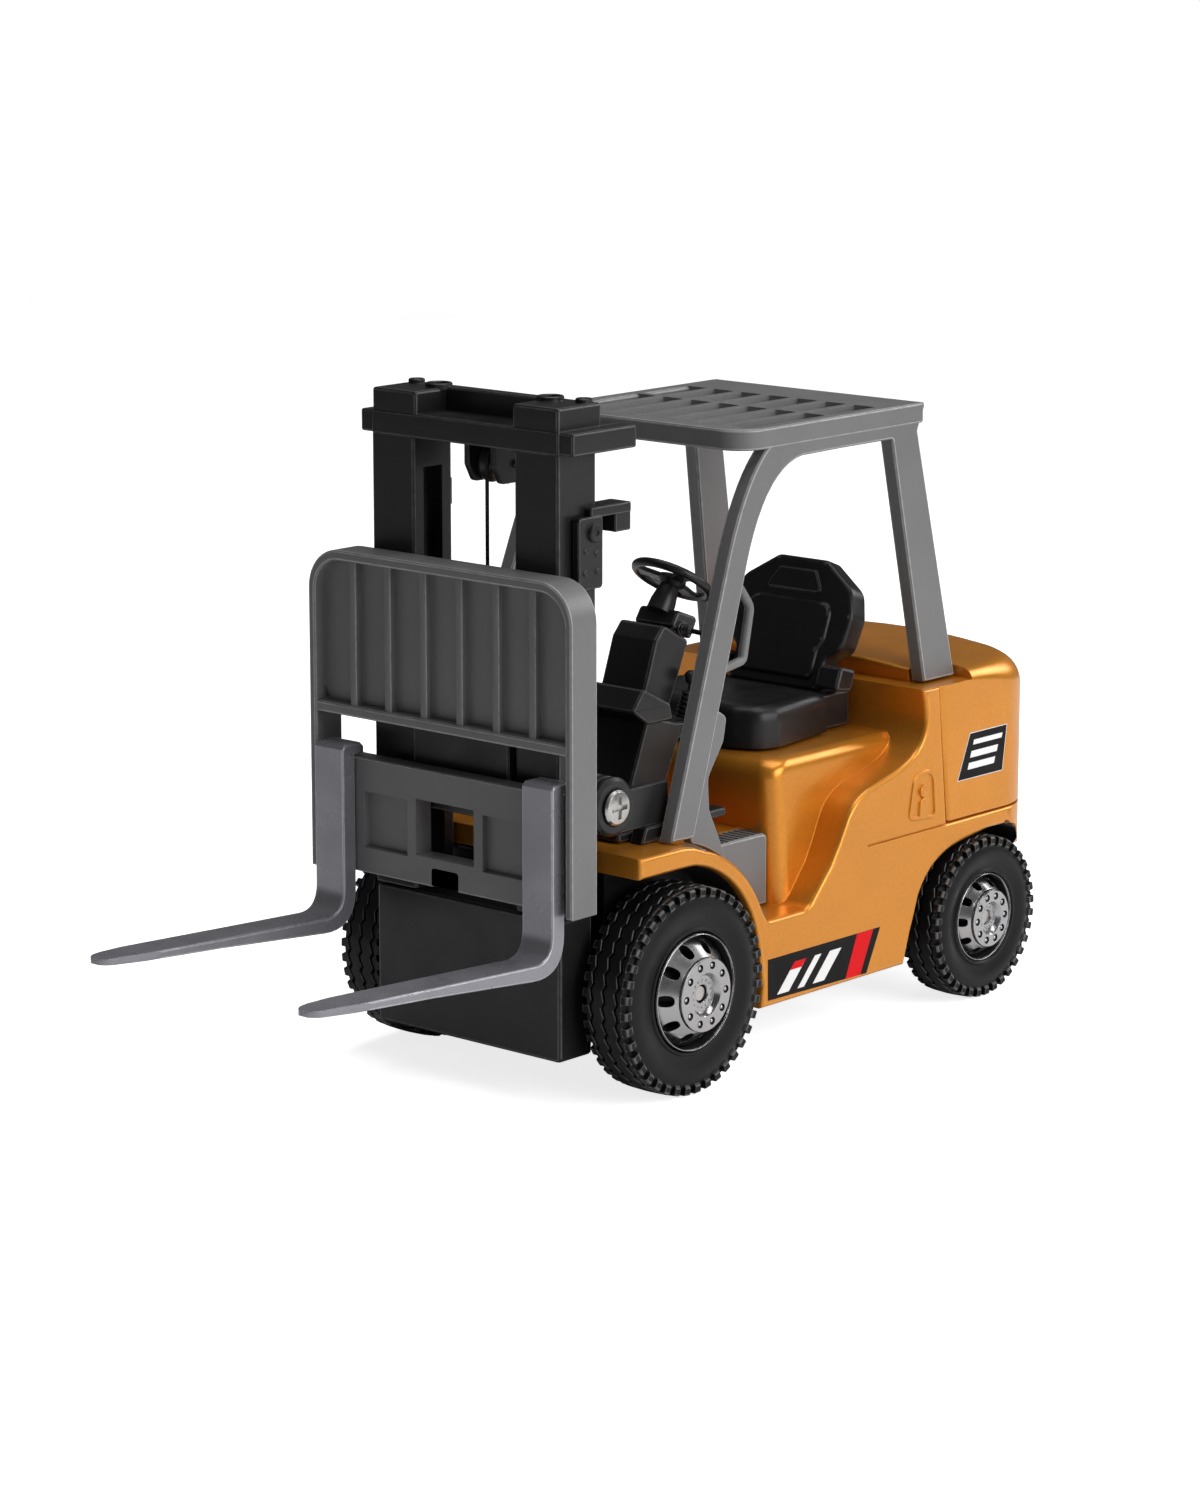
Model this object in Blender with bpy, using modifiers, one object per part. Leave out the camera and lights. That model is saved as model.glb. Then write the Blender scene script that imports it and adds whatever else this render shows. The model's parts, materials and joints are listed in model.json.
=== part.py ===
"""Toy forklift truck: friction-drive chassis, tilting mast, lifting carriage with two forks, cab and overhead guard.

-Y points to the fork tips and +Z is up. Every length below is in millimetres; MM turns it into metres.
The pieces are drawn with the origin on the ground under the front axle, then moved back by CENTRE_Y so that
the finished model stands with its middle over the origin.
"""

import math
from collections import namedtuple

import bmesh
import bpy
from mathutils import Matrix, Vector

MM = 0.001
GAP = 0.3                       # clearance left between neighbouring pieces

CENTRE_Y = 10.0                 # middle of the overall length, behind the front axle

# Wheels and axles
WHEELBASE = 83.3
FRONT_TYRE_R = 18.05
REAR_TYRE_R = 15.05
FRONT_TYRE_IN, FRONT_TYRE_OUT = 23.2, 33.2
REAR_TYRE_IN, REAR_TYRE_OUT = 23.3, 31.9
Rim = namedtuple("Rim", "radius lip_x hub_r hub_x recess_r")
FRONT_RIM = Rim(10.1, 33.3, 6.4, 35.5, 3.7)
REAR_RIM = Rim(8.1, 31.45, 5.3, 33.0, 3.0)
AXLE_R = 1.25
AXLE_BORE_R = 1.5
ROUND = 32                      # sides of a round piece

# Body
BODY_HALF = 30.0
BODY_WALL = 2.2
DECK_FRONT = -10.5
DECK_TOP = 42.3
DECK_UNDER = 38.7
SILL = 10.1
STEP_FLOOR = 25.4
FENDER_R = 23.7
ARCH_R = 20.9
FENDER_CLEAR_R = 24.1           # pieces standing on a fender stay outside this radius
SEAT_BOX_HALF = 23.0
SEAT_BOX_FRONT = 32.2
SEAT_BOX_TOP = 50.9
TUNNEL_HALF = 16.0
BULKHEAD = 72.6                 # seam between the body and the counterweight
WAIST = 33.9                    # seam under the counterweight
SHOULDER = 59.4                 # top of the body side under the guard's rear pillar
HOOD_EDGE = 61.0
HOOD_CROWN = 63.0
BODY_REAR = 104.0
REAR_CORNER_R = 12.0

# Mast
MAST_HALF = 21.1
MAST_INNER = 11.4
MAST_FRONT = -21.0
MAST_BACK = -11.6
MAST_BASE_BOTTOM, MAST_BASE_TOP = 7.7, 32.2
MAST_TOP = 109.7
PIVOT_Y, PIVOT_Z = -11.5, 50.7
PIVOT_R = 5.0
CAP_FLOOR = 114.0
CAP_TOP = 118.6
PULLEY_Y, PULLEY_Z = -12.0, 106.1
CORD_Y = -15.2
CORD_R = 0.33

# Carriage and forks
GUARD_HALF = 30.0
GUARD_FRONT, GUARD_BACK = -27.74, -21.3
GUARD_BOTTOM, GUARD_TOP = 35.1, 90.6
GUARD_RIM = 1.5
GUARD_CORNER = 7.0
PLATE_FRONT = -26.1
PLATE_TOP = 55.2
FORK_IN, FORK_OUT = 20.5, 27.35
FORK_FRONT = -29.45
FORK_TIP = -84.0

# Overhead guard
ROOF_TOP = 109.8
ROOF_HALF = 24.1
PILLAR_LEAN = 0.0457            # outward run of the side frames per unit of height
SIDE_FRAME = 3.0

# Cab
WHEEL_Y, WHEEL_Z = 32.3, 80.4
WHEEL_TILT = math.radians(33.8)
STEER_R = 7.0
CAB_FLOOR = 44.0                # top of the foot plate
STEP_TOP = 38.4
STEP_IN, STEP_OUT = 16.3, 22.3
LEVER_X, LEVER_Y, LEVER_Z = 7.2, 28.0, 57.4

# Underside
BASE_SCREWS = [(13.4, 27.5), (-13.4, 27.5), (13.4, 96.0), (-13.4, 96.0)]

# Friction motor
MODULE = 0.7
BIG_TEETH, SMALL_TEETH = 18, 9
GEAR_DISTANCE = MODULE * (BIG_TEETH + SMALL_TEETH) / 2 + 0.12
GEAR_LINE = math.radians(164.0)  # direction from each shaft to the next, seen along -X
REAR_AXLE = (WHEELBASE, REAR_TYRE_R)

COLOURS = {
    "body_orange": ((0.62, 0.28, 0.045), 0.32, 0.35),
    "guard_grey": ((0.17, 0.17, 0.17), 0.45, 0.1),
    "mast_black": ((0.03, 0.03, 0.032), 0.45, 0.0),
    "fork_gunmetal": ((0.20, 0.20, 0.22), 0.35, 0.6),
    "tyre_black": ((0.015, 0.015, 0.016), 0.7, 0.0),
    "rim_silver": ((0.55, 0.55, 0.56), 0.25, 0.9),
    "steel": ((0.6, 0.6, 0.6), 0.3, 1.0),
    "gear_white": ((0.75, 0.75, 0.72), 0.5, 0.0),
}


# ---------------------------------------------------------------- scene and materials

def clear_scene():
    for obj in list(bpy.data.objects):
        bpy.data.objects.remove(obj, do_unlink=True)


def make_collection(name):
    collection = bpy.data.collections.new(name)
    bpy.context.scene.collection.children.link(collection)
    return collection


def material(name):
    found = bpy.data.materials.get(name)
    if found:
        return found
    colour, roughness, metallic = COLOURS[name]
    made = bpy.data.materials.new(name)
    made.use_nodes = True
    shader = made.node_tree.nodes["Principled BSDF"]
    shader.inputs["Base Color"].default_value = (*colour, 1.0)
    shader.inputs["Roughness"].default_value = roughness
    shader.inputs["Metallic"].default_value = metallic
    return made


def keep(obj, name, look):
    """Name a finished piece, give it its material and put it with the other parts."""
    obj.name = name
    obj.data.materials.clear()
    obj.data.materials.append(material(look))
    PARTS.objects.link(obj)
    return obj


def smooth(obj, angle=35.0):
    obj.data.shade_smooth()
    obj.data.set_sharp_from_angle(angle=math.radians(angle))
    return obj


# ---------------------------------------------------------------- shape helpers

def new_object(mesh_maker):
    """An unlinked mesh object filled by mesh_maker(bmesh)."""
    mesh = bpy.data.meshes.new("mesh")
    bm = bmesh.new()
    mesh_maker(bm)
    bmesh.ops.recalc_face_normals(bm, faces=bm.faces)
    bm.to_mesh(mesh)
    bm.free()
    return bpy.data.objects.new("piece", mesh)


def box(x, y, z):
    """Box between the given (low, high) pairs."""
    size = Vector(((x[1] - x[0]) * MM, (y[1] - y[0]) * MM, (z[1] - z[0]) * MM))
    centre = Vector(((x[0] + x[1]) * MM / 2, (y[0] + y[1]) * MM / 2, (z[0] + z[1]) * MM / 2))

    def fill(bm):
        bmesh.ops.create_cube(bm, size=1.0, matrix=Matrix.Translation(centre) @ Matrix.Diagonal((*size, 1.0)))

    return new_object(fill)


def rod(radius, start, end, sides=ROUND, end_radius=None):
    """Closed cylinder or cone between two points."""
    a, b = Vector(start) * MM, Vector(end) * MM
    turn = (b - a).to_track_quat("Z", "Y").to_matrix().to_4x4()
    place = Matrix.Translation((a + b) / 2) @ turn

    def fill(bm):
        bmesh.ops.create_cone(
            bm, cap_ends=True, segments=sides, radius1=radius * MM,
            radius2=(radius if end_radius is None else end_radius) * MM, depth=(b - a).length, matrix=place)

    return smooth(new_object(fill))


def slab(outline, low, high, axis):
    """Flat outline filled and extruded along axis: X takes (y, z) points, Y takes (x, z), Z takes (x, y)."""
    curve = bpy.data.curves.new("outline", "CURVE")
    curve.dimensions = "2D"
    curve.fill_mode = "BOTH"
    curve.extrude = (high - low) * MM / 2
    spline = curve.splines.new("POLY")
    spline.points.add(len(outline) - 1)
    for point, (u, v) in zip(spline.points, outline):
        point.co = (u * MM, v * MM, 0.0, 1.0)
    spline.use_cyclic_u = True
    drawn = bpy.data.objects.new("outline", curve)
    bpy.context.scene.collection.objects.link(drawn)
    evaluated = drawn.evaluated_get(bpy.context.evaluated_depsgraph_get())
    mesh = bpy.data.meshes.new_from_object(evaluated)
    bpy.data.objects.remove(drawn, do_unlink=True)

    middle = (low + high) * MM / 2
    turns = {
        "X": Matrix(((0, 0, 1, middle), (1, 0, 0, 0), (0, 1, 0, 0), (0, 0, 0, 1))),
        "Y": Matrix(((1, 0, 0, 0), (0, 0, -1, middle), (0, 1, 0, 0), (0, 0, 0, 1))),
        "Z": Matrix.Translation((0, 0, middle)),
    }

    def fill(bm):
        bm.from_mesh(mesh)
        bmesh.ops.remove_doubles(bm, verts=bm.verts, dist=1e-6)
        bmesh.ops.transform(bm, matrix=turns[axis], verts=bm.verts)

    return smooth(new_object(fill))


def turned(profile, place, steps=ROUND):
    """Closed (radius, height) profile, outer side first and downwards, turned about Z, then moved by place."""
    def fill(bm):
        ring = [bm.verts.new((r * MM, 0.0, h * MM)) for r, h in profile]
        for a, b in zip(ring, ring[1:] + ring[:1]):
            bm.edges.new((a, b))

    mesh = bpy.data.meshes.new("profile")
    bm = bmesh.new()
    fill(bm)
    bm.to_mesh(mesh)
    bm.free()
    obj = bpy.data.objects.new("turned", mesh)
    screw = obj.modifiers.new("turn", "SCREW")
    screw.axis = "Z"
    screw.steps = steps
    screw.render_steps = steps
    screw.use_merge_vertices = True
    screw.merge_threshold = 0.00001
    obj.matrix_world = place
    return smooth(obj)


def along_x(x, y, z, side=1):
    """Placement whose local +Z points to +X (side 1) or -X (side -1), with its origin at the given point."""
    turn = Matrix.Rotation(math.radians(90 * side), 4, "Y")
    return Matrix.Translation(Vector((x, y, z)) * MM) @ turn


def combine(base, others, operation):
    for index, other in enumerate(others):
        if other.name not in TOOLS.objects:
            TOOLS.objects.link(other)
        other.hide_render = True
        other.display_type = "WIRE"
        step = base.modifiers.new(f"{operation.lower()}_{index}", "BOOLEAN")
        step.operation = operation
        step.solver = "EXACT"
        step.object = other
    return base


def join(base, *others):
    return combine(base, others, "UNION")


def cut(base, *others):
    return combine(base, others, "DIFFERENCE")


def trim(base, *others):
    return combine(base, others, "INTERSECT")


def lean_about(obj, side):
    """Lean an upright side frame outwards towards its foot."""
    angle = math.atan(PILLAR_LEAN) * -side
    pivot = Vector((side * ROOF_HALF * MM, 0.0, ROOF_TOP * MM))
    obj.matrix_world = Matrix.Translation(pivot) @ Matrix.Rotation(angle, 4, "Y") @ Matrix.Translation(-pivot)
    return obj


# ---------------------------------------------------------------- outlines

def arc(centre, radius, start, end, count):
    """Points on a circle from angle start to angle end, in degrees."""
    angles = [math.radians(start + (end - start) * i / (count - 1)) for i in range(count)]
    return [(centre[0] + radius * math.cos(a), centre[1] + radius * math.sin(a)) for a in angles]


def bend(start, control, end, count):
    """Points of a quadratic curve, without its first point."""
    points = []
    for i in range(1, count + 1):
        t = i / count
        points.append(tuple(
            (1 - t) ** 2 * s + 2 * t * (1 - t) * c + t * t * e for s, c, e in zip(start, control, end)))
    return points


def rounded(low, high, radius, count=5):
    """Rectangle with rounded corners, given by its low and high corners."""
    (u0, v0), (u1, v1) = low, high
    corners = [((u1 - radius, v1 - radius), 0), ((u0 + radius, v1 - radius), 90),
               ((u0 + radius, v0 + radius), 180), ((u1 - radius, v0 + radius), 270)]
    return [p for centre, a in corners for p in arc(centre, radius, a, a + 90, count)]


def inset(points, distance):
    """Outline moved to its right-hand side by distance, open ended."""
    moved = []
    for i, point in enumerate(points):
        before = Vector(points[max(i - 1, 0)])
        after = Vector(points[min(i + 1, len(points) - 1)])
        run = (after - before).normalized()
        moved.append((point[0] + run.y * distance, point[1] - run.x * distance))
    return moved


def body_top_line():
    """Side view of the body's upper edge, from the front of the deck to the counterweight seam."""
    wheel = (0.0, FRONT_TYRE_R)
    line = [(DECK_FRONT, DECK_TOP), (1.0, DECK_TOP)]
    line += arc(wheel, FENDER_R, 72, 24, 8)
    line += [(24.4, STEP_FLOOR), (33.0, STEP_FLOOR)]
    line += bend((33.0, STEP_FLOOR), (36.2, STEP_FLOOR), (38.7, 29.9), 4)
    line += [(44.4, 39.0)]
    line += bend((44.4, 39.0), (46.8, 43.6), (52.0, 44.5), 4)
    line += [(60.5, 46.6)]
    line += bend((60.5, 46.6), (67.6, 48.6), (67.5, 54.8), 5)
    line += [(66.4, SHOULDER), (BULKHEAD, SHOULDER)]
    return line


def rear_arch():
    """Side view of the rear wheel opening, from its rear end to the sill."""
    line = [(97.2, 25.5), (96.6, 28.6), (94.4, 30.6), (86.4, 30.9), (77.4, 29.7)]
    line += bend((77.4, 29.7), (69.0, 28.4), (65.6, 22.0), 4)
    line += [(63.4, 16.0), (61.5, SILL)]
    return line


def front_arch():
    """Side view of the front wheel opening, from the sill to the underside of the deck."""
    line = [(21.6, SILL), (21.9, 16.0)]
    line += arc((0.0, FRONT_TYRE_R), ARCH_R, 18, 80, 8)
    line += [(0.5, DECK_UNDER), (DECK_FRONT, DECK_UNDER)]
    return line


def plan_outline(half, rear, low):
    """Top view with rounded rear corners and a slightly bowed back."""
    bow = 1.0
    right = arc((half - REAR_CORNER_R, rear - REAR_CORNER_R - bow), REAR_CORNER_R, 0, 90, 7)
    left = [(-x, y) for x, y in reversed(right)]
    return [(half, low)] + right + [(0.0, rear)] + left + [(-half, low)]


# ---------------------------------------------------------------- body and chassis

def body_shell():
    """Orange moulding: deck, fenders, sills, seat box, tunnel and the shelf under the counterweight."""
    top = body_top_line()
    rear = [(BULKHEAD, WAIST), (BODY_REAR, WAIST), (BODY_REAR, 27.0), (BODY_REAR - 1.5, 25.5)]
    shell = slab(top + rear + rear_arch() + front_arch(), -BODY_HALF, BODY_HALF, "X")
    box_plan = rounded((-SEAT_BOX_HALF, SEAT_BOX_FRONT), (SEAT_BOX_HALF, BULKHEAD + 10.0), 3.5)
    seat_box = slab(box_plan, STEP_FLOOR - 1.5, SEAT_BOX_TOP, "Z")
    cut(seat_box, box((-40, 40), (BULKHEAD - 1.0, 120), (0, 80)))
    tunnel = box((-TUNNEL_HALF, TUNNEL_HALF), (3.0, SEAT_BOX_FRONT + 2.0), (STEP_FLOOR - 1.0, DECK_TOP - 0.1))
    join(shell, seat_box, tunnel)

    hollow_half = BODY_HALF - BODY_WALL
    inner = [(DECK_FRONT + 2.0, -5.0)] + [(max(y, DECK_FRONT + 2.0), z) for y, z in inset(top[:-1], 2.0)]
    inner += [(BULKHEAD - 2.0, SHOULDER - 2.0), (BULKHEAD - 2.0, -5.0)]
    room_half = SEAT_BOX_HALF - 2.0
    seat_room = box((-room_half, room_half), (SEAT_BOX_FRONT + 2.0, BULKHEAD - 2.1), (-6, SEAT_BOX_TOP - 2.0))
    tunnel_half = TUNNEL_HALF - 1.8
    tunnel_room = box((-tunnel_half, tunnel_half), (5.0, SEAT_BOX_FRONT + 4.0), (-7, DECK_TOP - 2.2))
    rear_plan = plan_outline(hollow_half - 0.1, BODY_REAR - 2.5, BULKHEAD - 4.0)
    rear_room = slab(rear_plan, -8, WAIST - 2.1, "Z")
    hood_opening = box((-20, 20), (BULKHEAD + 3.0, 91.0), (20, WAIST + 5))
    cut(shell, slab(inner, -hollow_half, hollow_half, "X"), seat_room, tunnel_room, rear_room, hood_opening)
    join(shell, *[rod(2.4, (x, y, 12.9), (x, y, WAIST - 1.0), 16) for x, y in BASE_SCREWS])
    cut(shell, *[rod(1.2, (x, y, 11.0), (x, y, 22.0), 12) for x, y in BASE_SCREWS])
    trim(shell, slab(plan_outline(BODY_HALF + 0.5, BODY_REAR, -40.0), -20, 90, "Z"))
    return keep(shell, "body_shell", "body_orange")


def counterweight():
    """Rear hood and counterweight moulding: crowned on top, rounded at the rear, open underneath."""
    front = BULKHEAD + GAP
    bottom = WAIST + GAP
    side = [(front, bottom), (front, HOOD_CROWN + 1)]
    side += arc((BODY_REAR - 7.0, HOOD_CROWN - 6.0), 7.0, 90, 0, 6)
    side += [(BODY_REAR, bottom)]
    hood = slab(side, -BODY_HALF, BODY_HALF, "X")
    crown_r = (BODY_HALF ** 2 + 2.2 ** 2) / (2 * 2.2)
    sweep = math.degrees(math.asin(BODY_HALF / crown_r))
    crown = arc((0.0, HOOD_CROWN - crown_r), crown_r, 90 - sweep, 90 + sweep, 9)
    section = [(-BODY_HALF, bottom - 2), (BODY_HALF, bottom - 2)] + crown
    plan = slab(plan_outline(BODY_HALF, BODY_REAR, 60.0), -20, 90, "Z")
    trim(hood, slab(section, 50, 120, "Y"), plan)
    room = slab(
        plan_outline(BODY_HALF - BODY_WALL, BODY_REAR - BODY_WALL, front + 2.0), bottom - 3, HOOD_EDGE - 3.0, "Z")
    feet = [box(x, (60, 80.2), (SHOULDER, 70)) for x in ((22.8, 40), (-40, -22.8))]
    cut(hood, room, *feet)
    return keep(hood, "counterweight", "body_orange")


def chassis():
    """Black floor pan with the wheel-well walls that carry both axles."""
    plan = [(20.0, -8.2), (20.0, 22.6), (27.3, 23.4), (27.3, 59.7), (20.0, 60.5), (20.0, 99.0)]
    pan = slab(plan + [(-x, y) for x, y in reversed(plan)], 10.6, 12.6, "Z")
    walls = []
    front_wall = arc((0.0, FRONT_TYRE_R), 21.2, -19, 70, 8) + [(-7.8, 37.8), (-7.8, 11.1)]
    for side in (1, -1):
        walls.append(slab(front_wall, *sorted((side * 18.0, side * 19.6)), "X"))
        walls.append(box(sorted((side * 18.1, side * 19.7)), (64.0, 98.5), (11.2, 30.5)))
    walls.append(box((-18.8, 18.8), (-7.4, -5.9), (11.3, 36.9)))
    join(pan, *walls)
    holes = [rod(AXLE_BORE_R, (-30, y, z), (30, y, z)) for y, z in ((0.0, FRONT_TYRE_R), REAR_AXLE)]
    motor_opening = box((-9.6, 9.6), (54.4, 93.6), (5, 15))
    screw_holes = [rod(1.2, (x, y, 5), (x, y, 15), 12) for x, y in BASE_SCREWS]
    counterbores = [rod(2.4, (x, y, 5), (x, y, 11.9), 16) for x, y in BASE_SCREWS]
    cut(pan, *holes, motor_opening, *screw_holes, *counterbores)
    return keep(pan, "chassis", "mast_black")


def base_screws():
    for index, (x, y) in enumerate(BASE_SCREWS):
        head = rod(2.0, (x, y, 10.8), (x, y, 11.7), 16)
        join(head, rod(0.9, (x, y, 11.4), (x, y, 18.0), 12))
        keep(head, f"base_screw_{index + 1}", "steel")


# ---------------------------------------------------------------- wheels, axles and the friction motor

def wheel_set(tag, radius, rim, inner_x, outer_x, y):
    """Two tyres and two rims on one axle; the conical hub of each rim stands out past its lip."""
    half = (outer_x - inner_x) / 2
    middle = (inner_x + outer_x) / 2
    seat = rim.radius + 0.15
    tyre = [(seat, half - 0.5), (seat + 1.6, half), (radius - 2.6, half), (radius - 0.9, half - 0.7),
            (radius, half - 1.6), (radius, -half + 1.6), (radius - 0.9, -half + 0.7), (radius - 2.6, -half),
            (seat + 1.6, -half), (seat, -half + 0.5)]
    lip = rim.lip_x - middle
    face = rim.hub_x - middle
    barrel, well = rim.radius - 0.15, rim.radius - 0.8
    turned_rim = [
        (AXLE_BORE_R, face - 1.0), (rim.recess_r - 0.3, face - 1.0), (rim.recess_r, face), (rim.hub_r, face),
        (rim.hub_r, face - 0.8), (well, half - 2.0), (well, lip - 0.3), (well + 0.3, lip), (barrel, lip - 0.5),
        (barrel, -half + 0.6), (well - 0.4, -half + 0.6), (well - 0.4, half - 3.2), (rim.hub_r - 1.0, face - 3.4),
        (AXLE_BORE_R + 1.2, face - 3.4), (AXLE_BORE_R + 1.2, -half + 1.0), (AXLE_BORE_R, -half + 1.0)]
    for name, side in (("left", 1), ("right", -1)):
        place = along_x(side * middle, y, radius, side)
        keep(turned(tyre, place), f"tyre_{tag}_{name}", "tyre_black")
        keep(turned(turned_rim, place), f"rim_{tag}_{name}", "rim_silver")
    reach = rim.hub_x - 1.5
    axle = rod(AXLE_R, (-reach, y, radius), (reach, y, radius), 24)
    keep(axle, f"{tag}_axle", "steel")


def gear_outline(teeth, phase):
    """Straight-flanked gear outline; phase turns it by that share of one tooth pitch."""
    pitch = 2 * math.pi / teeth
    tip, root = MODULE * (teeth / 2 + 0.85), MODULE * (teeth / 2 - 1.2)
    points = []
    for i in range(teeth):
        middle = pitch * (i + phase)
        for radius, offset in ((root, -0.27), (tip, -0.1), (tip, 0.1), (root, 0.27)):
            a = middle + offset * pitch
            points.append((radius * math.cos(a), radius * math.sin(a)))
    return points


def gear(teeth, phase, centre, low, high, bore):
    outline = [(centre[0] + u, centre[1] + v) for u, v in turn_outline(gear_outline(teeth, phase))]
    wheel = slab(outline, low, high, "X")
    wheel.data.shade_flat()
    if bore:
        cut(wheel, rod(bore, (low - 2, *centre), (high + 2, *centre), 24))
    return wheel


def turn_outline(points):
    """Turn an outline so that its first tooth faces along the line of shafts."""
    c, s = math.cos(GEAR_LINE), math.sin(GEAR_LINE)
    return [(u * c - v * s, u * s + v * c) for u, v in points]


def next_shaft(centre):
    return (centre[0] + GEAR_DISTANCE * math.cos(GEAR_LINE), centre[1] + GEAR_DISTANCE * math.sin(GEAR_LINE))


IDLER = next_shaft(REAR_AXLE)
FLYWHEEL = next_shaft(IDLER)


def friction_motor():
    """Axle gear, compound idler and flywheel in a two-part gearbox around the rear axle."""
    keep(gear(BIG_TEETH, 0.0, REAR_AXLE, -1.2, 1.2, AXLE_R + 0.1), "axle_gear", "gear_white")

    wheel = gear(BIG_TEETH, 0.0, IDLER, 1.6, 3.4, None)
    join(wheel, gear(SMALL_TEETH, 0.0, IDLER, -1.1, 1.9, None))
    cut(wheel, rod(1.15, (-6, *IDLER), (6, *IDLER), 16))
    keep(wheel, "idler_gear", "gear_white")
    keep(rod(0.85, (-7.8, *IDLER), (7.8, *IDLER), 16), "idler_pin", "steel")

    disc = rod(7.4, (-6.0, *FLYWHEEL), (-2.0, *FLYWHEEL))
    shaft = rod(0.85, (-7.8, *FLYWHEEL), (7.8, *FLYWHEEL), 16)
    join(disc, gear(SMALL_TEETH, 0.0, FLYWHEEL, 1.5, 3.5, None), shaft)
    keep(disc, "flywheel", "steel")

    outer = [(92.6, 7.6), (92.6, 24.6), (72.0, 29.6), (55.4, 29.6), (55.4, 11.4), (66.0, 8.6), (74.0, 7.6)]
    inner = [(91.4, 8.0), (91.4, 23.8), (71.8, 28.4), (56.6, 28.4), (56.6, 12.2), (66.2, 9.0), (74.2, 8.0)]
    for name, side in (("left", 1), ("right", -1)):
        half = slab(outer, *sorted((side * 0.15, side * 8.5)), "X")
        room = slab(inner, *sorted((-side * 3.0, side * 7.2)), "X")
        bores = [rod(AXLE_BORE_R, (-12, *REAR_AXLE), (12, *REAR_AXLE), 24)]
        bores += [rod(1.1, (-8.0, *centre), (8.0, *centre), 16) for centre in (IDLER, FLYWHEEL)]
        keep(cut(half, room, *bores), f"gearbox_{name}", "mast_black")


# ---------------------------------------------------------------- mast

def mast_frame():
    """Two slotted columns tied by a low cross bar, with a pivot boss behind each column."""
    bottom = MAST_BASE_TOP + GAP
    column = box((MAST_INNER, MAST_HALF), (MAST_FRONT, MAST_BACK), (bottom, MAST_TOP))
    other = box((-MAST_HALF, -MAST_INNER), (MAST_FRONT, MAST_BACK), (bottom, MAST_TOP))
    bar = box((-MAST_INNER - 1, MAST_INNER + 1), (-13.8, MAST_BACK - 0.1), (bottom + 0.1, bottom + 4.0))
    bosses = [rod(PIVOT_R, (s * 13.0, PIVOT_Y, PIVOT_Z), (s * (MAST_HALF - 0.05), PIVOT_Y, PIVOT_Z)) for s in (1, -1)]
    join(column, other, bar, *bosses)
    slots = [box(sorted((s * (MAST_INNER - 1), s * 14.0)), (-18.6, -14.0), (30.0, 104.8)) for s in (1, -1)]
    bores = [rod(1.25, (s * 15.5, PIVOT_Y, PIVOT_Z), (s * 24.0, PIVOT_Y, PIVOT_Z), 16) for s in (1, -1)]
    return keep(cut(column, *slots, *bores), "mast_frame", "mast_black")


def mast_base():
    """Open-backed box that closes the foot of the mast."""
    outer = box((-MAST_HALF, MAST_HALF), (-20.8, -12.6), (MAST_BASE_BOTTOM, MAST_BASE_TOP))
    room = box((-MAST_HALF + 1.8, MAST_HALF - 1.8), (-18.8, -10), (MAST_BASE_BOTTOM + 1.8, MAST_BASE_TOP - 1.8))
    return keep(cut(outer, room), "mast_base", "mast_black")


def mast_cap():
    """Head of the mast: end blocks over the columns, a wall between them, side tabs and the pulley cheeks."""
    bottom = MAST_TOP + GAP
    cap = box((-MAST_HALF, MAST_HALF), (MAST_FRONT, -5.0), (bottom, CAP_FLOOR))
    parts = [box((-11.5, 11.5), (-13.7, -11.0), (CAP_FLOOR - 1.0, CAP_TOP - 0.1))]
    for side in (1, -1):
        parts.append(box(sorted((side * 10.9, side * (MAST_HALF - 0.1))), (MAST_FRONT + 0.1, -10.2),
                         (CAP_FLOOR - 1.2, CAP_TOP)))
        parts.append(box(sorted((side * 20.0, side * 24.0)), (-20.6, -4.8), (bottom + 0.1, CAP_FLOOR - 0.1)))
        cheek = [(-17.0, bottom + 1.0), (-17.0, 106.0), (-15.4, 103.0), (-9.0, 103.0), (-8.0, 104.6),
                 (-8.0, bottom + 1.0)]
        parts.append(slab(cheek, *sorted((side * 2.4, side * 3.6)), "X"))
    join(cap, *parts)
    return keep(cut(cap, rod(1.1, (-6, PULLEY_Y, PULLEY_Z), (6, PULLEY_Y, PULLEY_Z), 16)), "mast_cap", "mast_black")


def pulley():
    wheel = turned(
        [(3.5, 2.0), (3.5, 1.4), (2.6, 0.5), (2.6, -0.5), (3.5, -1.4), (3.5, -2.0), (1.1, -2.0), (1.1, 2.0)],
        along_x(0.0, PULLEY_Y, PULLEY_Z), 24)
    keep(wheel, "pulley", "mast_black")
    keep(rod(0.8, (-4.2, PULLEY_Y, PULLEY_Z), (4.2, PULLEY_Y, PULLEY_Z), 16), "pulley_pin", "steel")


def cord():
    """Lifting cord: over the pulley and straight down behind the carriage."""
    reach = PULLEY_Y - CORD_Y
    over = arc((PULLEY_Y, PULLEY_Z), reach, 0, 180, 9)
    path = [(PULLEY_Y + reach, PULLEY_Z - 1.5)] + over + [(CORD_Y, 37.5)]
    curve = bpy.data.curves.new("cord", "CURVE")
    curve.dimensions = "3D"
    curve.bevel_depth = CORD_R * MM
    curve.bevel_resolution = 2
    curve.use_fill_caps = True
    spline = curve.splines.new("POLY")
    spline.points.add(len(path) - 1)
    for point, (y, z) in zip(spline.points, path):
        point.co = (0.0, y * MM, z * MM, 1.0)
    keep(bpy.data.objects.new("cord", curve), "lift_cord", "mast_black")


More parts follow.
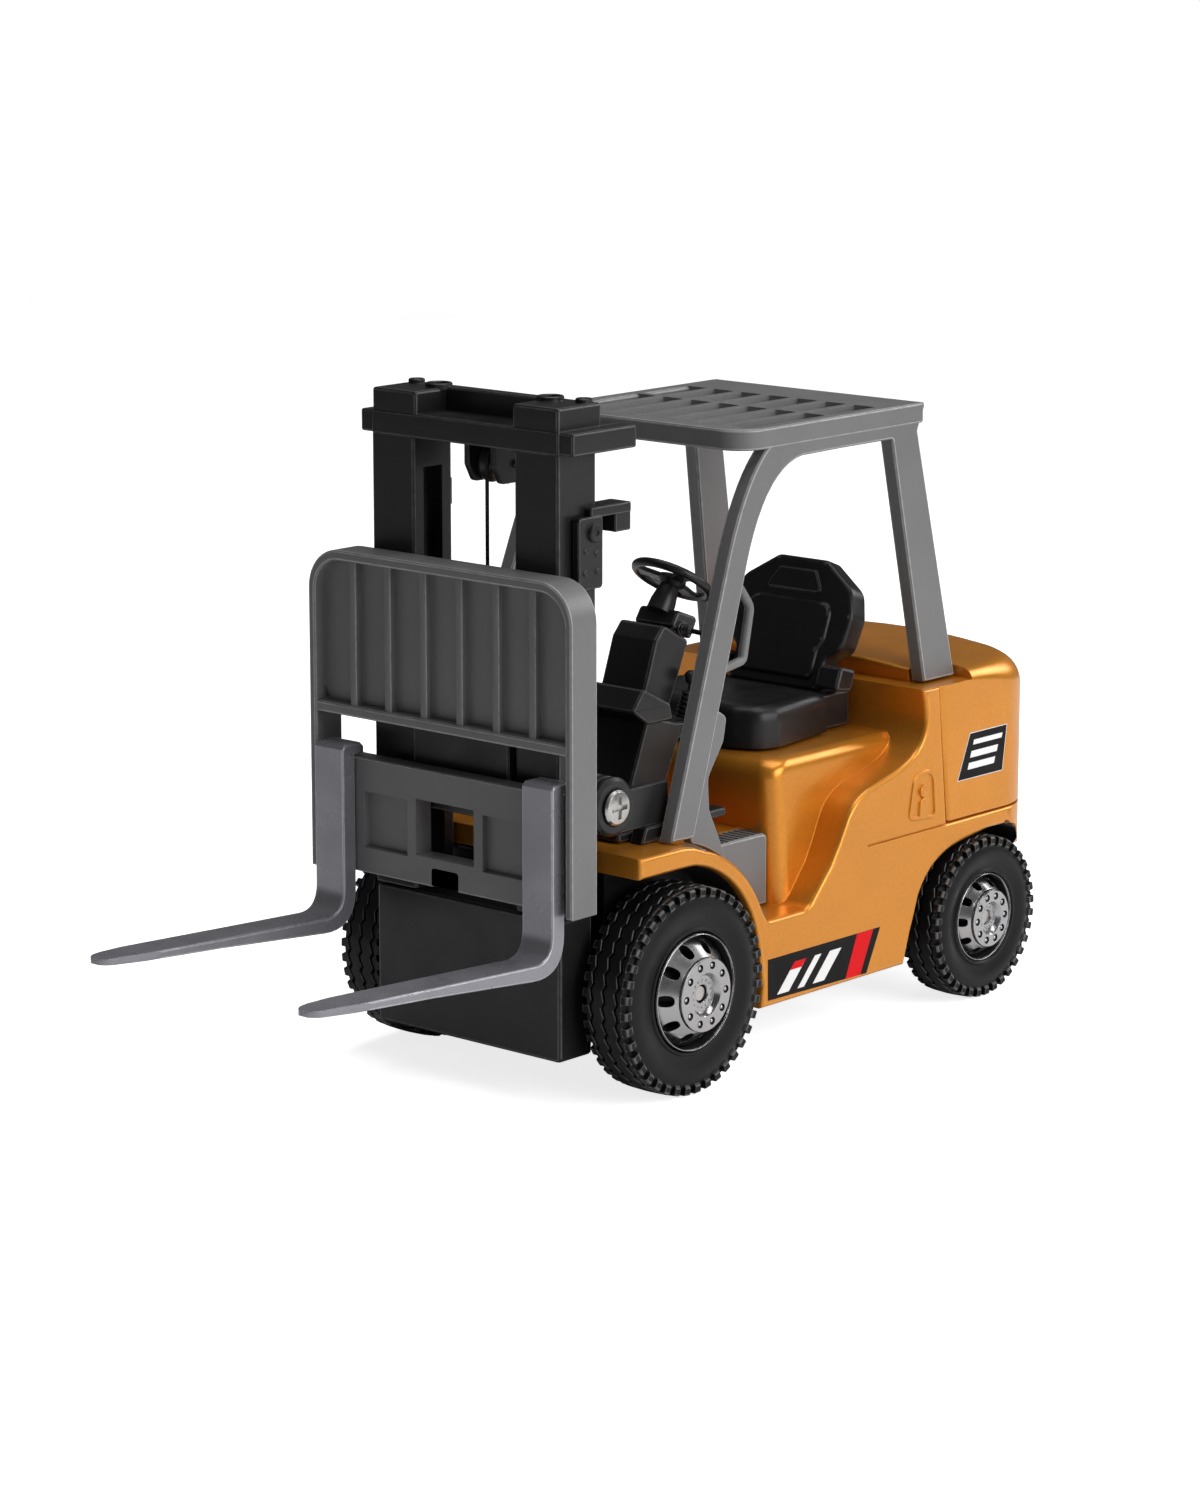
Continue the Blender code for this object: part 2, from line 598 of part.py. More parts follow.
def side_brackets():
    for name, side in (("left", 1), ("right", -1)):
        plate = box(sorted((side * 21.4, side * 22.9)), (-17.9, -11.9), (87.5, 99.6))
        arm = box(sorted((side * 18.0, side * 22.6)), (-11.2, -4.5), (96.2, 101.0))
        link = box(sorted((side * 21.5, side * 22.7)), (-14.0, -9.0), (96.4, 99.4))
        button = rod(1.6, (side * 22.5, -14.2, 96.9), (side * 23.7, -14.2, 96.9), 20)
        keep(join(plate, arm, link, button), f"mast_bracket_{name}", "mast_black")


def pivots():
    """Arms of the chassis with a boss disc and a screw at each end of the tilt axis."""
    for name, side in (("left", 1), ("right", -1)):
        span = sorted((side * 21.4, side * 23.2))
        outline = arc((PIVOT_Y, PIVOT_Z), PIVOT_R, 78, 258, 12)
        outline += [(-1.5, 46.0), (-1.5, DECK_TOP + GAP), (3.5, DECK_TOP + GAP), (4.6, 44.6), (9.0, 43.6),
                    (9.6, 50.4)]
        arm = slab(outline, *span, "X")
        bore = rod(1.35, (side * 20.0, PIVOT_Y, PIVOT_Z), (side * 25.0, PIVOT_Y, PIVOT_Z), 16)
        keep(cut(arm, bore), f"pivot_arm_{name}", "mast_black")
        disc = rod(PIVOT_R, (side * 23.5, PIVOT_Y, PIVOT_Z), (side * 25.2, PIVOT_Y, PIVOT_Z))
        hole = rod(1.35, (side * 22.0, PIVOT_Y, PIVOT_Z), (side * 27.0, PIVOT_Y, PIVOT_Z), 16)
        keep(cut(disc, hole), f"pivot_disc_{name}", "mast_black")
        head = rod(3.05, (side * 25.5, PIVOT_Y, PIVOT_Z), (side * 26.3, PIVOT_Y, PIVOT_Z), 24)
        shank = rod(0.95, (side * 16.0, PIVOT_Y, PIVOT_Z), (side * 25.9, PIVOT_Y, PIVOT_Z), 12)
        keep(join(head, shank), f"pivot_screw_{name}", "steel")


# ---------------------------------------------------------------- carriage and forks

def carriage():
    """Load backrest and fork carriage in one moulding: rim, ribbed panel, bar and the windowed lower plate."""
    low = (-GUARD_HALF, GUARD_BOTTOM)
    rim = slab(rounded(low, (GUARD_HALF, GUARD_TOP), GUARD_CORNER)[:10] + [low, (GUARD_HALF, GUARD_BOTTOM)],
               GUARD_FRONT, GUARD_BACK, "Y")
    inner_half = GUARD_HALF - GUARD_RIM
    inner = rounded((-inner_half, 20.0), (inner_half, GUARD_TOP - 1.76), GUARD_CORNER - GUARD_RIM)
    cut(rim, slab(inner, -40, -10, "Y"))
    panel = slab(rounded((-inner_half - 0.3, 62.6), (inner_half + 0.3, GUARD_TOP - 1.4), 5.5), -25.25, -23.6, "Y")
    bar = box((-inner_half - 0.3, inner_half + 0.3), (-27.5, -23.7), (62.25, 64.1))
    ribs = [box((x - 0.7, x + 0.7), (-26.95, -24.5), (63.0, GUARD_TOP - 1.0))
            for x in (-20.45, -12.35, -4.1, 4.1, 12.35, 20.45)]
    plate = box((-inner_half - 0.3, inner_half + 0.3), (PLATE_FRONT, -22.4), (34.5 + 0.7, PLATE_TOP))
    join(rim, panel, bar, *ribs, plate)
    window = box((-6.65, 6.65), (-30, -15), (40.2, 49.9))
    notch = box((-2.8, 2.8), (-30, -15), (30, 38.2))
    recesses = [box(sorted((s * 8.7, s * 18.8)), (-30, PLATE_FRONT + 0.8), (39.7, 49.4)) for s in (1, -1)]
    return keep(cut(rim, window, notch, *recesses), "carriage", "guard_grey")


def carriage_slider():
    """Runner between the columns, with a tongue in each slot and a clear groove for the cord."""
    block = box((-10.9, 10.9), (-22.1, -12.4), (51.5, 61.5))
    tongues = box((-13.5, 13.5), (-18.3, -14.3), (51.6, 61.4))
    groove = box((-1.4, 1.4), (-17.0, -10.0), (50, 63))
    return keep(cut(join(block, tongues), groove), "carriage_slider", "mast_black")


def forks():
    """L-shaped fork: hook over the carriage, shank, heel and a blade that thins towards its tip."""
    shank_back = PLATE_FRONT - GAP
    side_view = [(-24.2, PLATE_TOP + GAP), (-24.2, 56.9), (-24.8, 57.5), (FORK_FRONT + 0.6, 57.5),
                 (FORK_FRONT, 56.9), (FORK_FRONT, 32.0)]
    side_view += bend((FORK_FRONT, 32.0), (FORK_FRONT - 0.2, 28.1), (-33.6, 28.15), 4)
    side_view += [(-80.0, 30.5), (FORK_TIP + 0.4, 30.4), (FORK_TIP, 29.9), (FORK_TIP + 0.6, 29.4), (-58.0, 27.7),
                  (-34.0, 25.5)]
    side_view += bend((-34.0, 25.5), (-26.6, 24.8), (shank_back, 31.5), 5)
    side_view += [(shank_back, PLATE_TOP + GAP)]
    middle = (FORK_IN + FORK_OUT) / 2
    half = (FORK_OUT - FORK_IN) / 2
    right = [(half + 1.0, -10.0), (half + 1.0, -70.0), (half, -72.0), (2.4, FORK_TIP + 1.2), (1.4, FORK_TIP - 1.0)]
    plan = right + [(-x, y) for x, y in reversed(right)]
    for name, side in (("left", 1), ("right", -1)):
        blade = slab(side_view, *sorted((side * FORK_IN, side * FORK_OUT)), "X")
        taper = slab([(side * (middle + x), y) for x, y in plan], 10, 70, "Z")
        keep(trim(blade, taper), f"fork_{name}", "fork_gunmetal")


# ---------------------------------------------------------------- cab

def cab_floor():
    """Foot plate on the deck and the tunnel, with a step block on each side of the tunnel."""
    plan = [(20.0, -4.8), (20.0, 23.6), (TUNNEL_HALF, 24.2), (TUNNEL_HALF, SEAT_BOX_FRONT - 0.4)]
    plate = slab(plan + [(-x, y) for x, y in reversed(plan)], DECK_TOP + GAP, CAB_FLOOR, "Z")
    keep(plate, "cab_floor", "mast_black")
    low = STEP_FLOOR + GAP
    top_angle = math.degrees(math.asin((STEP_TOP - FRONT_TYRE_R) / FENDER_CLEAR_R))
    outline = arc((0.0, FRONT_TYRE_R), FENDER_CLEAR_R, top_angle, 27, 6)
    back = SEAT_BOX_FRONT - GAP
    outline += [(25.0, low), (back, low), (back, STEP_TOP - 1.2), (back - 1.2, STEP_TOP)]
    for name, side in (("left", 1), ("right", -1)):
        keep(slab(outline, *sorted((side * STEP_IN, side * STEP_OUT)), "X"), f"step_{name}", "guard_grey")


def console():
    """Dash: sloping pedestal on the foot plate, ledge and the upper column housing."""
    low = CAB_FLOOR + GAP
    pedestal = slab([(10.7, low), (16.8, 59.5), (24.3, 57.1), (30.4, 57.0), (30.4, 55.2), (25.0, 54.2), (20.2, low)],
                    -8.0, 8.0, "X")
    ledge = slab([(12.4, 60.7), (15.3, 64.4), (22.4, 60.9), (23.2, 57.9), (16.5, 57.9)], -8.2, 8.2, "X")
    tower = slab([(18.6, 60.0), (19.0, 63.0), (22.0, 71.5), (24.3, 74.0), (31.0, 70.4), (25.0, 57.5)],
                 -5.1, 5.1, "X")
    return keep(join(pedestal, ledge, tower), "console", "mast_black")


def steering():
    """Column cover, column and the three-spoked wheel, all on one tilted axis."""
    cover = slab([(27.0, 73.2), (28.8, 75.9), (34.2, 73.9), (32.2, 70.2)], -4.5, 4.5, "X")
    keep(cover, "column_cover", "mast_black")
    centre = Vector((0.0, WHEEL_Y, WHEEL_Z))
    up = Vector((0.0, math.sin(WHEEL_TILT), math.cos(WHEEL_TILT)))
    keep(rod(0.95, centre - up * 4.6, centre - up * 0.95, 16), "steering_column", "mast_black")

    place = Matrix.Translation(centre * MM) @ Matrix.Rotation(-WHEEL_TILT, 4, "X")

    def local(maker):
        obj = new_object(maker)
        obj.matrix_world = place
        return smooth(obj)

    section = [(STEER_R + 0.62 * math.cos(a), 0.62 * math.sin(a))
               for a in (math.radians(-45 * i) for i in range(8))]
    ring = turned(section, place, 32)
    spokes = []
    for angle in (90, 210, 330):
        turn = Matrix.Rotation(math.radians(angle), 4, "Z")
        shape = turn @ Matrix.Translation((3.6 * MM, 0, -0.1 * MM)) @ Matrix.Diagonal(
            (6.6 * MM, 1.1 * MM, 0.7 * MM, 1.0))
        spokes.append(local(lambda bm, m=shape: bmesh.ops.create_cube(bm, size=1.0, matrix=m)))
    hub = local(lambda bm: bmesh.ops.create_cone(
        bm, cap_ends=True, segments=20, radius1=1.5 * MM, radius2=1.2 * MM, depth=1.3 * MM))
    keep(join(hub, *spokes, ring), "steering_wheel", "mast_black")


def gear_lever():
    """Ball-knob lever in its bellows, behind the pedestal."""
    boot = turned([(1.6, 2.6), (1.5, 2.0), (1.8, 1.6), (1.6, 1.0), (1.9, 0.6), (1.9, 0.0), (1.2, 0.0), (1.2, 2.6)],
                  Matrix.Translation(Vector((LEVER_X, LEVER_Y, LEVER_Z)) * MM), 16)
    keep(boot, "lever_boot", "mast_black")
    base = Vector((LEVER_X, LEVER_Y, LEVER_Z + 0.2))
    top = base + Vector((0.0, 0.95, 6.8))
    knob = new_object(lambda bm: bmesh.ops.create_uvsphere(
        bm, u_segments=12, v_segments=8, radius=1.25 * MM, matrix=Matrix.Translation(top * MM)))
    keep(join(smooth(knob), rod(0.4, base, top, 10)), "gear_lever", "mast_black")


def seat():
    """Driver's seat: cushion, frame behind it, winged back and the two hip restraints."""
    bottom = SEAT_BOX_TOP + GAP
    front = [(-17.4, 41.0), (-16.6, 37.6), (-14.4, 35.6), (-11.0, 35.0)]
    plan = [(-15.6, 57.0)] + front + [(-x, y) for x, y in reversed(front)] + [(15.6, 57.0)]
    keep(slab(plan, bottom, 58.8, "Z"), "seat_cushion", "mast_black")
    keep(box((-13.5, 13.5), (57.5, 65.6), (bottom, 57.6)), "seat_frame", "mast_black")
    lower, upper = (59.6, 58.0), (68.0, 79.5)
    side_view = [lower, (lower[0] + 5.4, lower[1]), (upper[0] + 5.0, upper[1] - 1.0), (upper[0] + 2.6, upper[1]),
                 upper]
    outline = [(10.4, 56.0), (10.4, 63.0), (13.6, 64.6), (13.9, 72.0), (12.2, 75.6), (5.2, 79.9), (5.2, 82.0)]
    back = slab(side_view, -15.0, 15.0, "X")
    trim(back, slab(outline + [(-x, z) for x, z in reversed(outline)], 50, 80, "Y"))
    keep(back, "seat_back", "mast_black")
    for name, side in (("left", 1), ("right", -1)):
        restraint = box(sorted((side * 11.0, side * 16.3)), (58.0, 63.4), (57.9, 62.5))
        keep(restraint, f"hip_restraint_{name}", "mast_black")


# ---------------------------------------------------------------- overhead guard

def side_frame(side):
    """One leaning side of the guard: front pillar with its gusset, roof rail and rear pillar."""
    foot_z = DECK_TOP + 0.4
    gusset = arc((0.0, FRONT_TYRE_R), FENDER_CLEAR_R + 0.4, 50, 74, 5)
    outer = [(2.6, foot_z), (0.65, foot_z), (17.1, 87.0)]
    outer += bend((17.1, 87.0), (25.45, ROOF_TOP), (38.2, ROOF_TOP), 7)
    outer += [(72.8, ROOF_TOP), (72.8, 109.0), (70.6, 104.9), (79.8, SHOULDER + 0.35), (70.9, SHOULDER + 0.35),
              (63.3, 104.1), (40.2, 104.1)]
    outer += bend((40.2, 104.1), (28.8, 104.1), (22.6, 87.0), 6)
    outer += [(14.6, 64.6), (16.3, 59.5), (10.9, 48.5)]
    inner_x, outer_x = sorted((side * ROOF_HALF, side * (ROOF_HALF - SIDE_FRAME)))
    return lean_about(slab(outer + gusset, inner_x, outer_x, "X"), side)


def overhead_guard():
    front = 22.4
    roof = slab(rounded((-ROOF_HALF - 0.2, front), (ROOF_HALF + 0.2, 72.6), 4.5), 106.1, ROOF_TOP - 0.05, "Z")
    slot_width = 4.9
    slots = []
    for centre in (-19.35, -12.9, -6.45, 0.0, 6.45, 12.9, 19.35):
        for start, end in ((26.2, 47.6), (49.0, 61.5)):
            span = (centre - slot_width / 2, centre + slot_width / 2)
            slots.append(box(span, (start, end), (100, 115)))
    join(roof, side_frame(1), side_frame(-1))
    cut(roof, *slots)
    return keep(roof, "overhead_guard", "guard_grey")


def grab_handles():
    """Flat loop on the rear edge of each front pillar."""
    outer = [(16.9, 69.6), (22.4, 70.6), (24.4, 80.0), (23.4, 83.0), (21.9, 84.4)]
    inner = [(21.0, 82.0), (22.8, 79.6), (21.1, 72.0), (18.2, 71.4)]
    for name, side in (("left", 1), ("right", -1)):
        x = side * (ROOF_HALF - SIDE_FRAME / 2)
        loop = slab([(y + 0.35, z) for y, z in outer + inner], x - 0.8, x + 0.8, "X")
        keep(lean_about(loop, side), f"grab_handle_{name}", "guard_grey")


# ---------------------------------------------------------------- assembly

def centre_on_origin():
    """Move everything so that the origin lies on the ground under the middle of the truck."""
    for obj in list(PARTS.objects) + list(TOOLS.objects):
        obj.matrix_world = Matrix.Translation((0.0, -CENTRE_Y * MM, 0.0)) @ obj.matrix_world


clear_scene()
PARTS = make_collection("toy_forklift")
TOOLS = make_collection("cutters")
body_shell()
counterweight()
chassis()
base_screws()
wheel_set("front", FRONT_TYRE_R, FRONT_RIM, FRONT_TYRE_IN, FRONT_TYRE_OUT, 0.0)
wheel_set("rear", REAR_TYRE_R, REAR_RIM, REAR_TYRE_IN, REAR_TYRE_OUT, WHEELBASE)
friction_motor()
mast_frame()
mast_base()
mast_cap()
pulley()
cord()
side_brackets()
pivots()
carriage()
carriage_slider()
forks()
cab_floor()
console()
steering()
gear_lever()
seat()
overhead_guard()
grab_handles()
centre_on_origin()
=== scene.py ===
"""Looks of the toy forklift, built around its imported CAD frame.

Shapes are drawn in millimetres with Y = 0 under the front axle, then moved into the row frame."""

import json
import math

import bmesh
import bpy
from mathutils import Matrix, Vector


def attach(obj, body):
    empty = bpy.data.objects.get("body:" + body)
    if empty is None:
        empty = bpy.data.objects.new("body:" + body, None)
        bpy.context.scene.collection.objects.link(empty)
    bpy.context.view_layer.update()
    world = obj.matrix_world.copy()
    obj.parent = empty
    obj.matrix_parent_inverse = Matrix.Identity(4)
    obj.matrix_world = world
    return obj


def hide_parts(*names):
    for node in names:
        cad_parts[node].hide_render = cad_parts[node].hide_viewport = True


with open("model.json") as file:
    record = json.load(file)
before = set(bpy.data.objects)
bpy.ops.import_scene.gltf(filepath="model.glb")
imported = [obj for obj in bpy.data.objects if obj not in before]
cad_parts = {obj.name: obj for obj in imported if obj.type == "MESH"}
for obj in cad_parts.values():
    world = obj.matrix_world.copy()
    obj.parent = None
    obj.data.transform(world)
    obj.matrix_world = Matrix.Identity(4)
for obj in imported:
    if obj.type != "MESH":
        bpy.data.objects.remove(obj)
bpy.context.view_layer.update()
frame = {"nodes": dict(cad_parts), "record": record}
SCENE = bpy.context.scene

MM = 0.001
CENTRE_Y = 10.0
TO_ROW = Matrix.Translation((0.0, -CENTRE_Y * MM, 0.0)) @ Matrix.Scale(MM, 4)
SIDES = (("left", 1), ("right", -1))

# Wheels
WHEELBASE = 83.3
FRONT_R, REAR_R = 18.05, 15.05
AXLE_Z = FRONT_R

# Body
BODY_HALF = 30.0
BODY_REAR = 104.0
CORNER_R = 12.0
WAIST = 33.9
SHOULDER = 59.4
REAR_ARCH_END = [(86.4, 30.9), (92.5, 30.85), (95.0, 30.1), (96.3, 28.8), (97.0, 27.0), (97.4, 25.6)]

# Mast and guard
PIVOT = (-11.5, 50.7)
PULLEY = (-12.0, 106.1)
ROOF_TOP = 109.8
ROOF_HALF = 24.1
PILLAR_LEAN = 0.0457

# Studio
ROOM_LIGHT = 0.07               # brightness of the white room for everything but the camera
FLOOR_LIFT = 0.80               # the same for the floor, in the camera's view only
FLOOR_HALF = 0.8
LAMPS = (("key", (0.80, 0.05, 0.40), (0, 0, 0.05), (0.6, 0.5), 4.6),
         ("top", (0.0, 0.1, 0.8), (0, 0, 0.05), (0.6, 0.6), 3.6),
         ("back", (0.35, 0.8, 0.5), (0, 0.02, 0.07), (0.5, 0.4), 3.0))
CAMERA_AT = (0.50389, -0.56653, 0.21624)
CAMERA_DOWN, CAMERA_TURN = 12.1202, 41.4926
CAMERA_LENS = 107.656

# Narrow strips that round a convex edge and catch the light
EDGE_FLAG = "rim_strip"
EDGE_STRIP = 0.35 * MM
EDGE_BEND = (0.15, 1.2)
SHARP_ANGLE = 33.0


# Materials

def put(node, values):
    """Set a node's unlinked inputs."""
    for name, value in values.items():
        node.inputs[name].default_value = value


def shown(name, data):
    """A new object in the scene."""
    made = bpy.data.objects.new(name, data)
    SCENE.collection.objects.link(made)
    return made


def look(name, colour, rough, metal=0.0, coat=0.0, vary=0.12, grain=0.25, bump=0.3, edge=0.12, painted_highlight=0.0,
         highlight_colour=(0.5, 0.5, 0.5), flake=0.0, rough_vary=0.08, shine=0.5):
    """Procedural material: mottled colour and roughness, fine grain, softened edges and a painted highlight on
    the narrow edge strips.
    """
    material = bpy.data.materials.new(name)
    material.use_nodes = True
    tree = material.node_tree
    nodes, links = tree.nodes, tree.links
    shader = nodes["Principled BSDF"]
    place = nodes.new("ShaderNodeTexCoord").outputs["Object"]

    def noise(scale, detail=3.0):
        node = nodes.new("ShaderNodeTexNoise")
        put(node, {"Scale": scale, "Detail": detail})
        links.new(place, node.inputs["Vector"])
        return node.outputs["Fac"]

    def spread(value, low, high, start=0.3, end=0.7):
        node = nodes.new("ShaderNodeMapRange")
        put(node, {"From Min": start, "From Max": end, "To Min": low, "To Max": high})
        links.new(value, node.inputs["Value"])
        return node.outputs["Result"]

    def maths(kind, a, b):
        node = nodes.new("ShaderNodeMath")
        node.operation = kind
        for socket, value in zip(node.inputs, (a, b)):
            if isinstance(value, (int, float)):
                socket.default_value = value
            else:
                links.new(value, socket)
        return node.outputs[0]

    mottle = spread(noise(45.0), 1 - vary, 1 + vary)
    tone = maths("MULTIPLY", mottle, spread(noise(900.0), 1 - vary / 3, 1 + vary / 3))
    if flake:
        cells = nodes.new("ShaderNodeTexVoronoi")
        cells.inputs["Scale"].default_value = 5200.0
        links.new(place, cells.inputs["Vector"])
        tone = maths("MULTIPLY", tone, spread(cells.outputs["Color"], 1 - flake, 1 + flake, 0.0, 1.0))
    shade = nodes.new("ShaderNodeVectorMath")
    shade.operation = "SCALE"
    shade.inputs[0].default_value = colour
    links.new(tone, shade.inputs["Scale"])
    colour_out = shade.outputs["Vector"]

    soft = nodes.new("ShaderNodeBevel")
    soft.samples = 3
    soft.inputs["Radius"].default_value = edge * MM
    # Painted highlight: a lighter colour mixed onto the rounded edge strips, broken up by noise, standing in for
    # the light they catch.
    if painted_highlight:
        strip = nodes.new("ShaderNodeAttribute")
        strip.attribute_name = EDGE_FLAG
        highlight_amount = maths("MULTIPLY", strip.outputs["Fac"], painted_highlight)
        broken_highlight = maths("MULTIPLY", highlight_amount, spread(noise(700.0), 0.45, 1.0))
        mix = nodes.new("ShaderNodeMix")
        mix.data_type = "RGBA"
        links.new(broken_highlight, mix.inputs["Factor"])
        links.new(colour_out, mix.inputs["A"])
        mix.inputs["B"].default_value = (*highlight_colour, 1.0)
        colour_out = mix.outputs["Result"]
    links.new(colour_out, shader.inputs["Base Color"])

    dull = spread(noise(160.0, 4.0), max(rough - rough_vary, 0.04), rough + rough_vary)
    links.new(dull, shader.inputs["Roughness"])
    put(shader, {"Metallic": metal, "Specular IOR Level": shine, "Coat Weight": coat, "Coat Roughness": 0.18})
    relief = nodes.new("ShaderNodeBump")
    put(relief, {"Strength": bump, "Distance": 0.02 * MM})
    links.new(noise(1000.0 / grain), relief.inputs["Height"])
    links.new(soft.outputs["Normal"], relief.inputs["Normal"])
    links.new(relief.outputs["Normal"], shader.inputs["Normal"])
    return material


# The lighter edge colours given below are painted highlights on rounded edges.
BODY = look("body_paint", (0.72, 0.27, 0.022), 0.34, metal=0.62, coat=0.30, vary=0.05, grain=0.2, bump=0.10,
            edge=0.25, painted_highlight=0.25, highlight_colour=(0.95, 0.50, 0.12), flake=0.08, rough_vary=0.04)
GREY = look("grey_plastic", (0.165, 0.165, 0.168), 0.38, vary=0.07, grain=0.16, bump=0.30, edge=0.22, painted_highlight=0.6,
            highlight_colour=(0.55, 0.55, 0.55))
BLACK = look("black_plastic", (0.011, 0.011, 0.012), 0.36, vary=0.12, grain=0.16, bump=0.30, edge=0.22, painted_highlight=0.6,
             highlight_colour=(0.14, 0.14, 0.145), shine=0.4)
FORK = look("fork_lacquer", (0.30, 0.30, 0.33), 0.30, metal=0.5, vary=0.06, grain=0.18, bump=0.2, edge=0.22,
            painted_highlight=0.6, highlight_colour=(0.75, 0.75, 0.78), flake=0.05)
TYRE = look("tyre_rubber", (0.0065, 0.0065, 0.007), 0.40, vary=0.25, grain=0.22, bump=0.35, edge=0.14, painted_highlight=0.7,
            highlight_colour=(0.20, 0.20, 0.20), shine=0.22)
RIM = look("rim_silver", (0.46, 0.46, 0.47), 0.24, metal=1.0, vary=0.05, grain=0.2, bump=0.08, edge=0.12,
           painted_highlight=0.4, highlight_colour=(0.85, 0.85, 0.86))
# Painted shade: near black for the deep hollows of the rims, the slots, nut wells, bore sleeve and the recess
# behind the lip.
RIM_SHADE = look("rim_pocket_shade", (0.006, 0.006, 0.0065), 0.5, vary=0.2)
STEEL = look("plated_steel", (0.55, 0.54, 0.52), 0.28, metal=1.0, vary=0.08, grain=0.2, bump=0.12)
GEAR = look("gear_nylon", (0.72, 0.72, 0.68), 0.5, vary=0.06)
CORD = look("cord_braid", (0.012, 0.012, 0.013), 0.75, vary=0.25, grain=0.12, bump=0.8)
INK_BLACK = look("decal_black", (0.004, 0.004, 0.0045), 0.45, vary=0.1, bump=0.05, shine=0.15)
INK_RED = look("decal_red", (0.70, 0.004, 0.008), 0.45, vary=0.05, bump=0.05, shine=0.15)
INK_WHITE = look("decal_white", (0.86, 0.86, 0.85), 0.5, vary=0.03, bump=0.05, shine=0.15)
SLOT_COATS = {"body": BODY, "grey_plastic": GREY, "black_plastic": BLACK, "fork": FORK, "tyre": TYRE, "rim": RIM,
              "steel": STEEL, "gear": GEAR, "cord": CORD}


# Outlines

def arc(centre, radius, start, end, count):
    """Points on a circle from angle start to angle end, in degrees."""
    angles = [math.radians(start + (end - start) * i / (count - 1)) for i in range(count)]
    return [(centre[0] + radius * math.cos(a), centre[1] + radius * math.sin(a)) for a in angles]


def bend(start, control, end, count):
    """Points of a quadratic curve, without its first point."""
    points = []
    for i in range(1, count + 1):
        t = i / count
        points.append(tuple(
            (1 - t) ** 2 * s + 2 * t * (1 - t) * c + t * t * e for s, c, e in zip(start, control, end)))
    return points


def fillet(corners, count=5):
    """Outline through (u, v, radius) corners; a corner given without a radius stays sharp."""
    points = []
    for i, corner in enumerate(corners):
        here = Vector(corner[:2])
        if len(corner) == 2:
            points.append(tuple(here))
            continue
        before = Vector(corners[i - 1][:2]) - here
        after = Vector(corners[(i + 1) % len(corners)][:2]) - here
        half = before.angle(after) / 2
        reach = min(corner[2] / math.tan(half), before.length * 0.49, after.length * 0.49)
        radius = reach * math.tan(half)
        centre = here + (before.normalized() + after.normalized()).normalized() * (radius / math.sin(half))
        first = here + before.normalized() * reach - centre
        last = here + after.normalized() * reach - centre
        a = math.atan2(first.y, first.x)
        swing = (math.atan2(last.y, last.x) - a + math.pi) % (2 * math.pi) - math.pi
        for k in range(count):
            t = a + swing * k / (count - 1)
            points.append((centre.x + radius * math.cos(t), centre.y + radius * math.sin(t)))
    return points


def rect(u0, v0, u1, v1, radius=0.0, count=5):
    """Rectangle from (u0, v0) to (u1, v1), with round corners if a radius is given."""
    corners = [(u0, v0), (u1, v0), (u1, v1), (u0, v1)]
    return fillet([(u, v, radius) for u, v in corners], count) if radius else corners


def widdershins(outline):
    """The outline, turned if need be to run counter-clockwise."""
    area = sum(a[0] * b[1] - b[0] * a[1] for a, b in zip(outline, outline[1:] + outline[:1]))
    return outline if area > 0 else outline[::-1]


def shrink(outline, distance):
    """Counter-clockwise outline moved inwards, with mitred corners."""
    moved = []
    for i, (u, v) in enumerate(outline):
        before = outline[i - 1]
        after = outline[(i + 1) % len(outline)]
        a = Vector((u - before[0], v - before[1])).normalized()
        b = Vector((after[0] - u, after[1] - v)).normalized()
        normal = Vector((-a.y - b.y, a.x + b.x))
        scale = 2 / max(normal.length_squared, 0.6)
        moved.append((u + normal.x * scale * distance, v + normal.y * scale * distance))
    return moved


# Solids

def solid(verts, faces, coat=None):
    mesh = bpy.data.meshes.new("solid")
    mesh.from_pydata(verts, [], faces)
    bm = bmesh.new()
    bm.from_mesh(mesh)
    bmesh.ops.remove_doubles(bm, verts=bm.verts, dist=1e-4)
    bmesh.ops.recalc_face_normals(bm, faces=bm.faces)
    bm.to_mesh(mesh)
    bm.free()
    made = shown("solid", mesh)
    if coat:
        mesh.materials.append(coat)
    return made


def loft(rings, coat=None, closed=False):
    """Skin over rings of equal length; the ends are capped unless the rings close on themselves."""
    count = len(rings[0])
    verts = [p for ring in rings for p in ring]
    faces = []
    for r in range(len(rings) if closed else len(rings) - 1):
        low, high = r * count, ((r + 1) % len(rings)) * count
        for i in range(count):
            j = (i + 1) % count
            faces.append((low + i, low + j, high + j, high + i))
    if not closed:
        faces.append(tuple(range(count))[::-1])
        faces.append(tuple(range(len(verts) - count, len(verts))))
    return solid(verts, faces, coat)


def to_axis(axis, u, v, w):
    return {"X": (w, u, v), "Y": (u, w, v), "Z": (u, v, w)}[axis]


def plate(outline, low, high, axis, r=0.35, coat=None, steps=3):
    """Outline extruded from low to high with rounded rims. X takes (y, z), Y takes (x, z), Z takes (x, y)."""
    outline = widdershins(outline)
    low, high = sorted((low, high))
    r = min(r, (high - low) * 0.49)
    rings = []
    for k in range(steps + 1):
        a = math.pi / 2 * k / steps
        rings.append((r * (1 - math.sin(a)), low + r * (1 - math.cos(a))))
    rings += [(inset, low + high - w) for inset, w in reversed(rings)]
    if r <= 0:
        rings = [(0.0, low), (0.0, high)]
    return loft([[to_axis(axis, u, v, w) for u, v in shrink(outline, inset)] for inset, w in rings], coat)


def block(x, y, z, r=0.35, coat=None, axis="Z", corner=None):
    """Box with rounded edges between the given (low, high) pairs."""
    x, y, z = sorted(x), sorted(y), sorted(z)
    corner = r if corner is None else corner
    spans = {"X": (y, z, x), "Y": (x, z, y), "Z": (x, y, z)}[axis]
    outline = rect(spans[0][0], spans[1][0], spans[0][1], spans[1][1], corner, 4)
    return plate(outline, spans[2][0], spans[2][1], axis, r, coat)


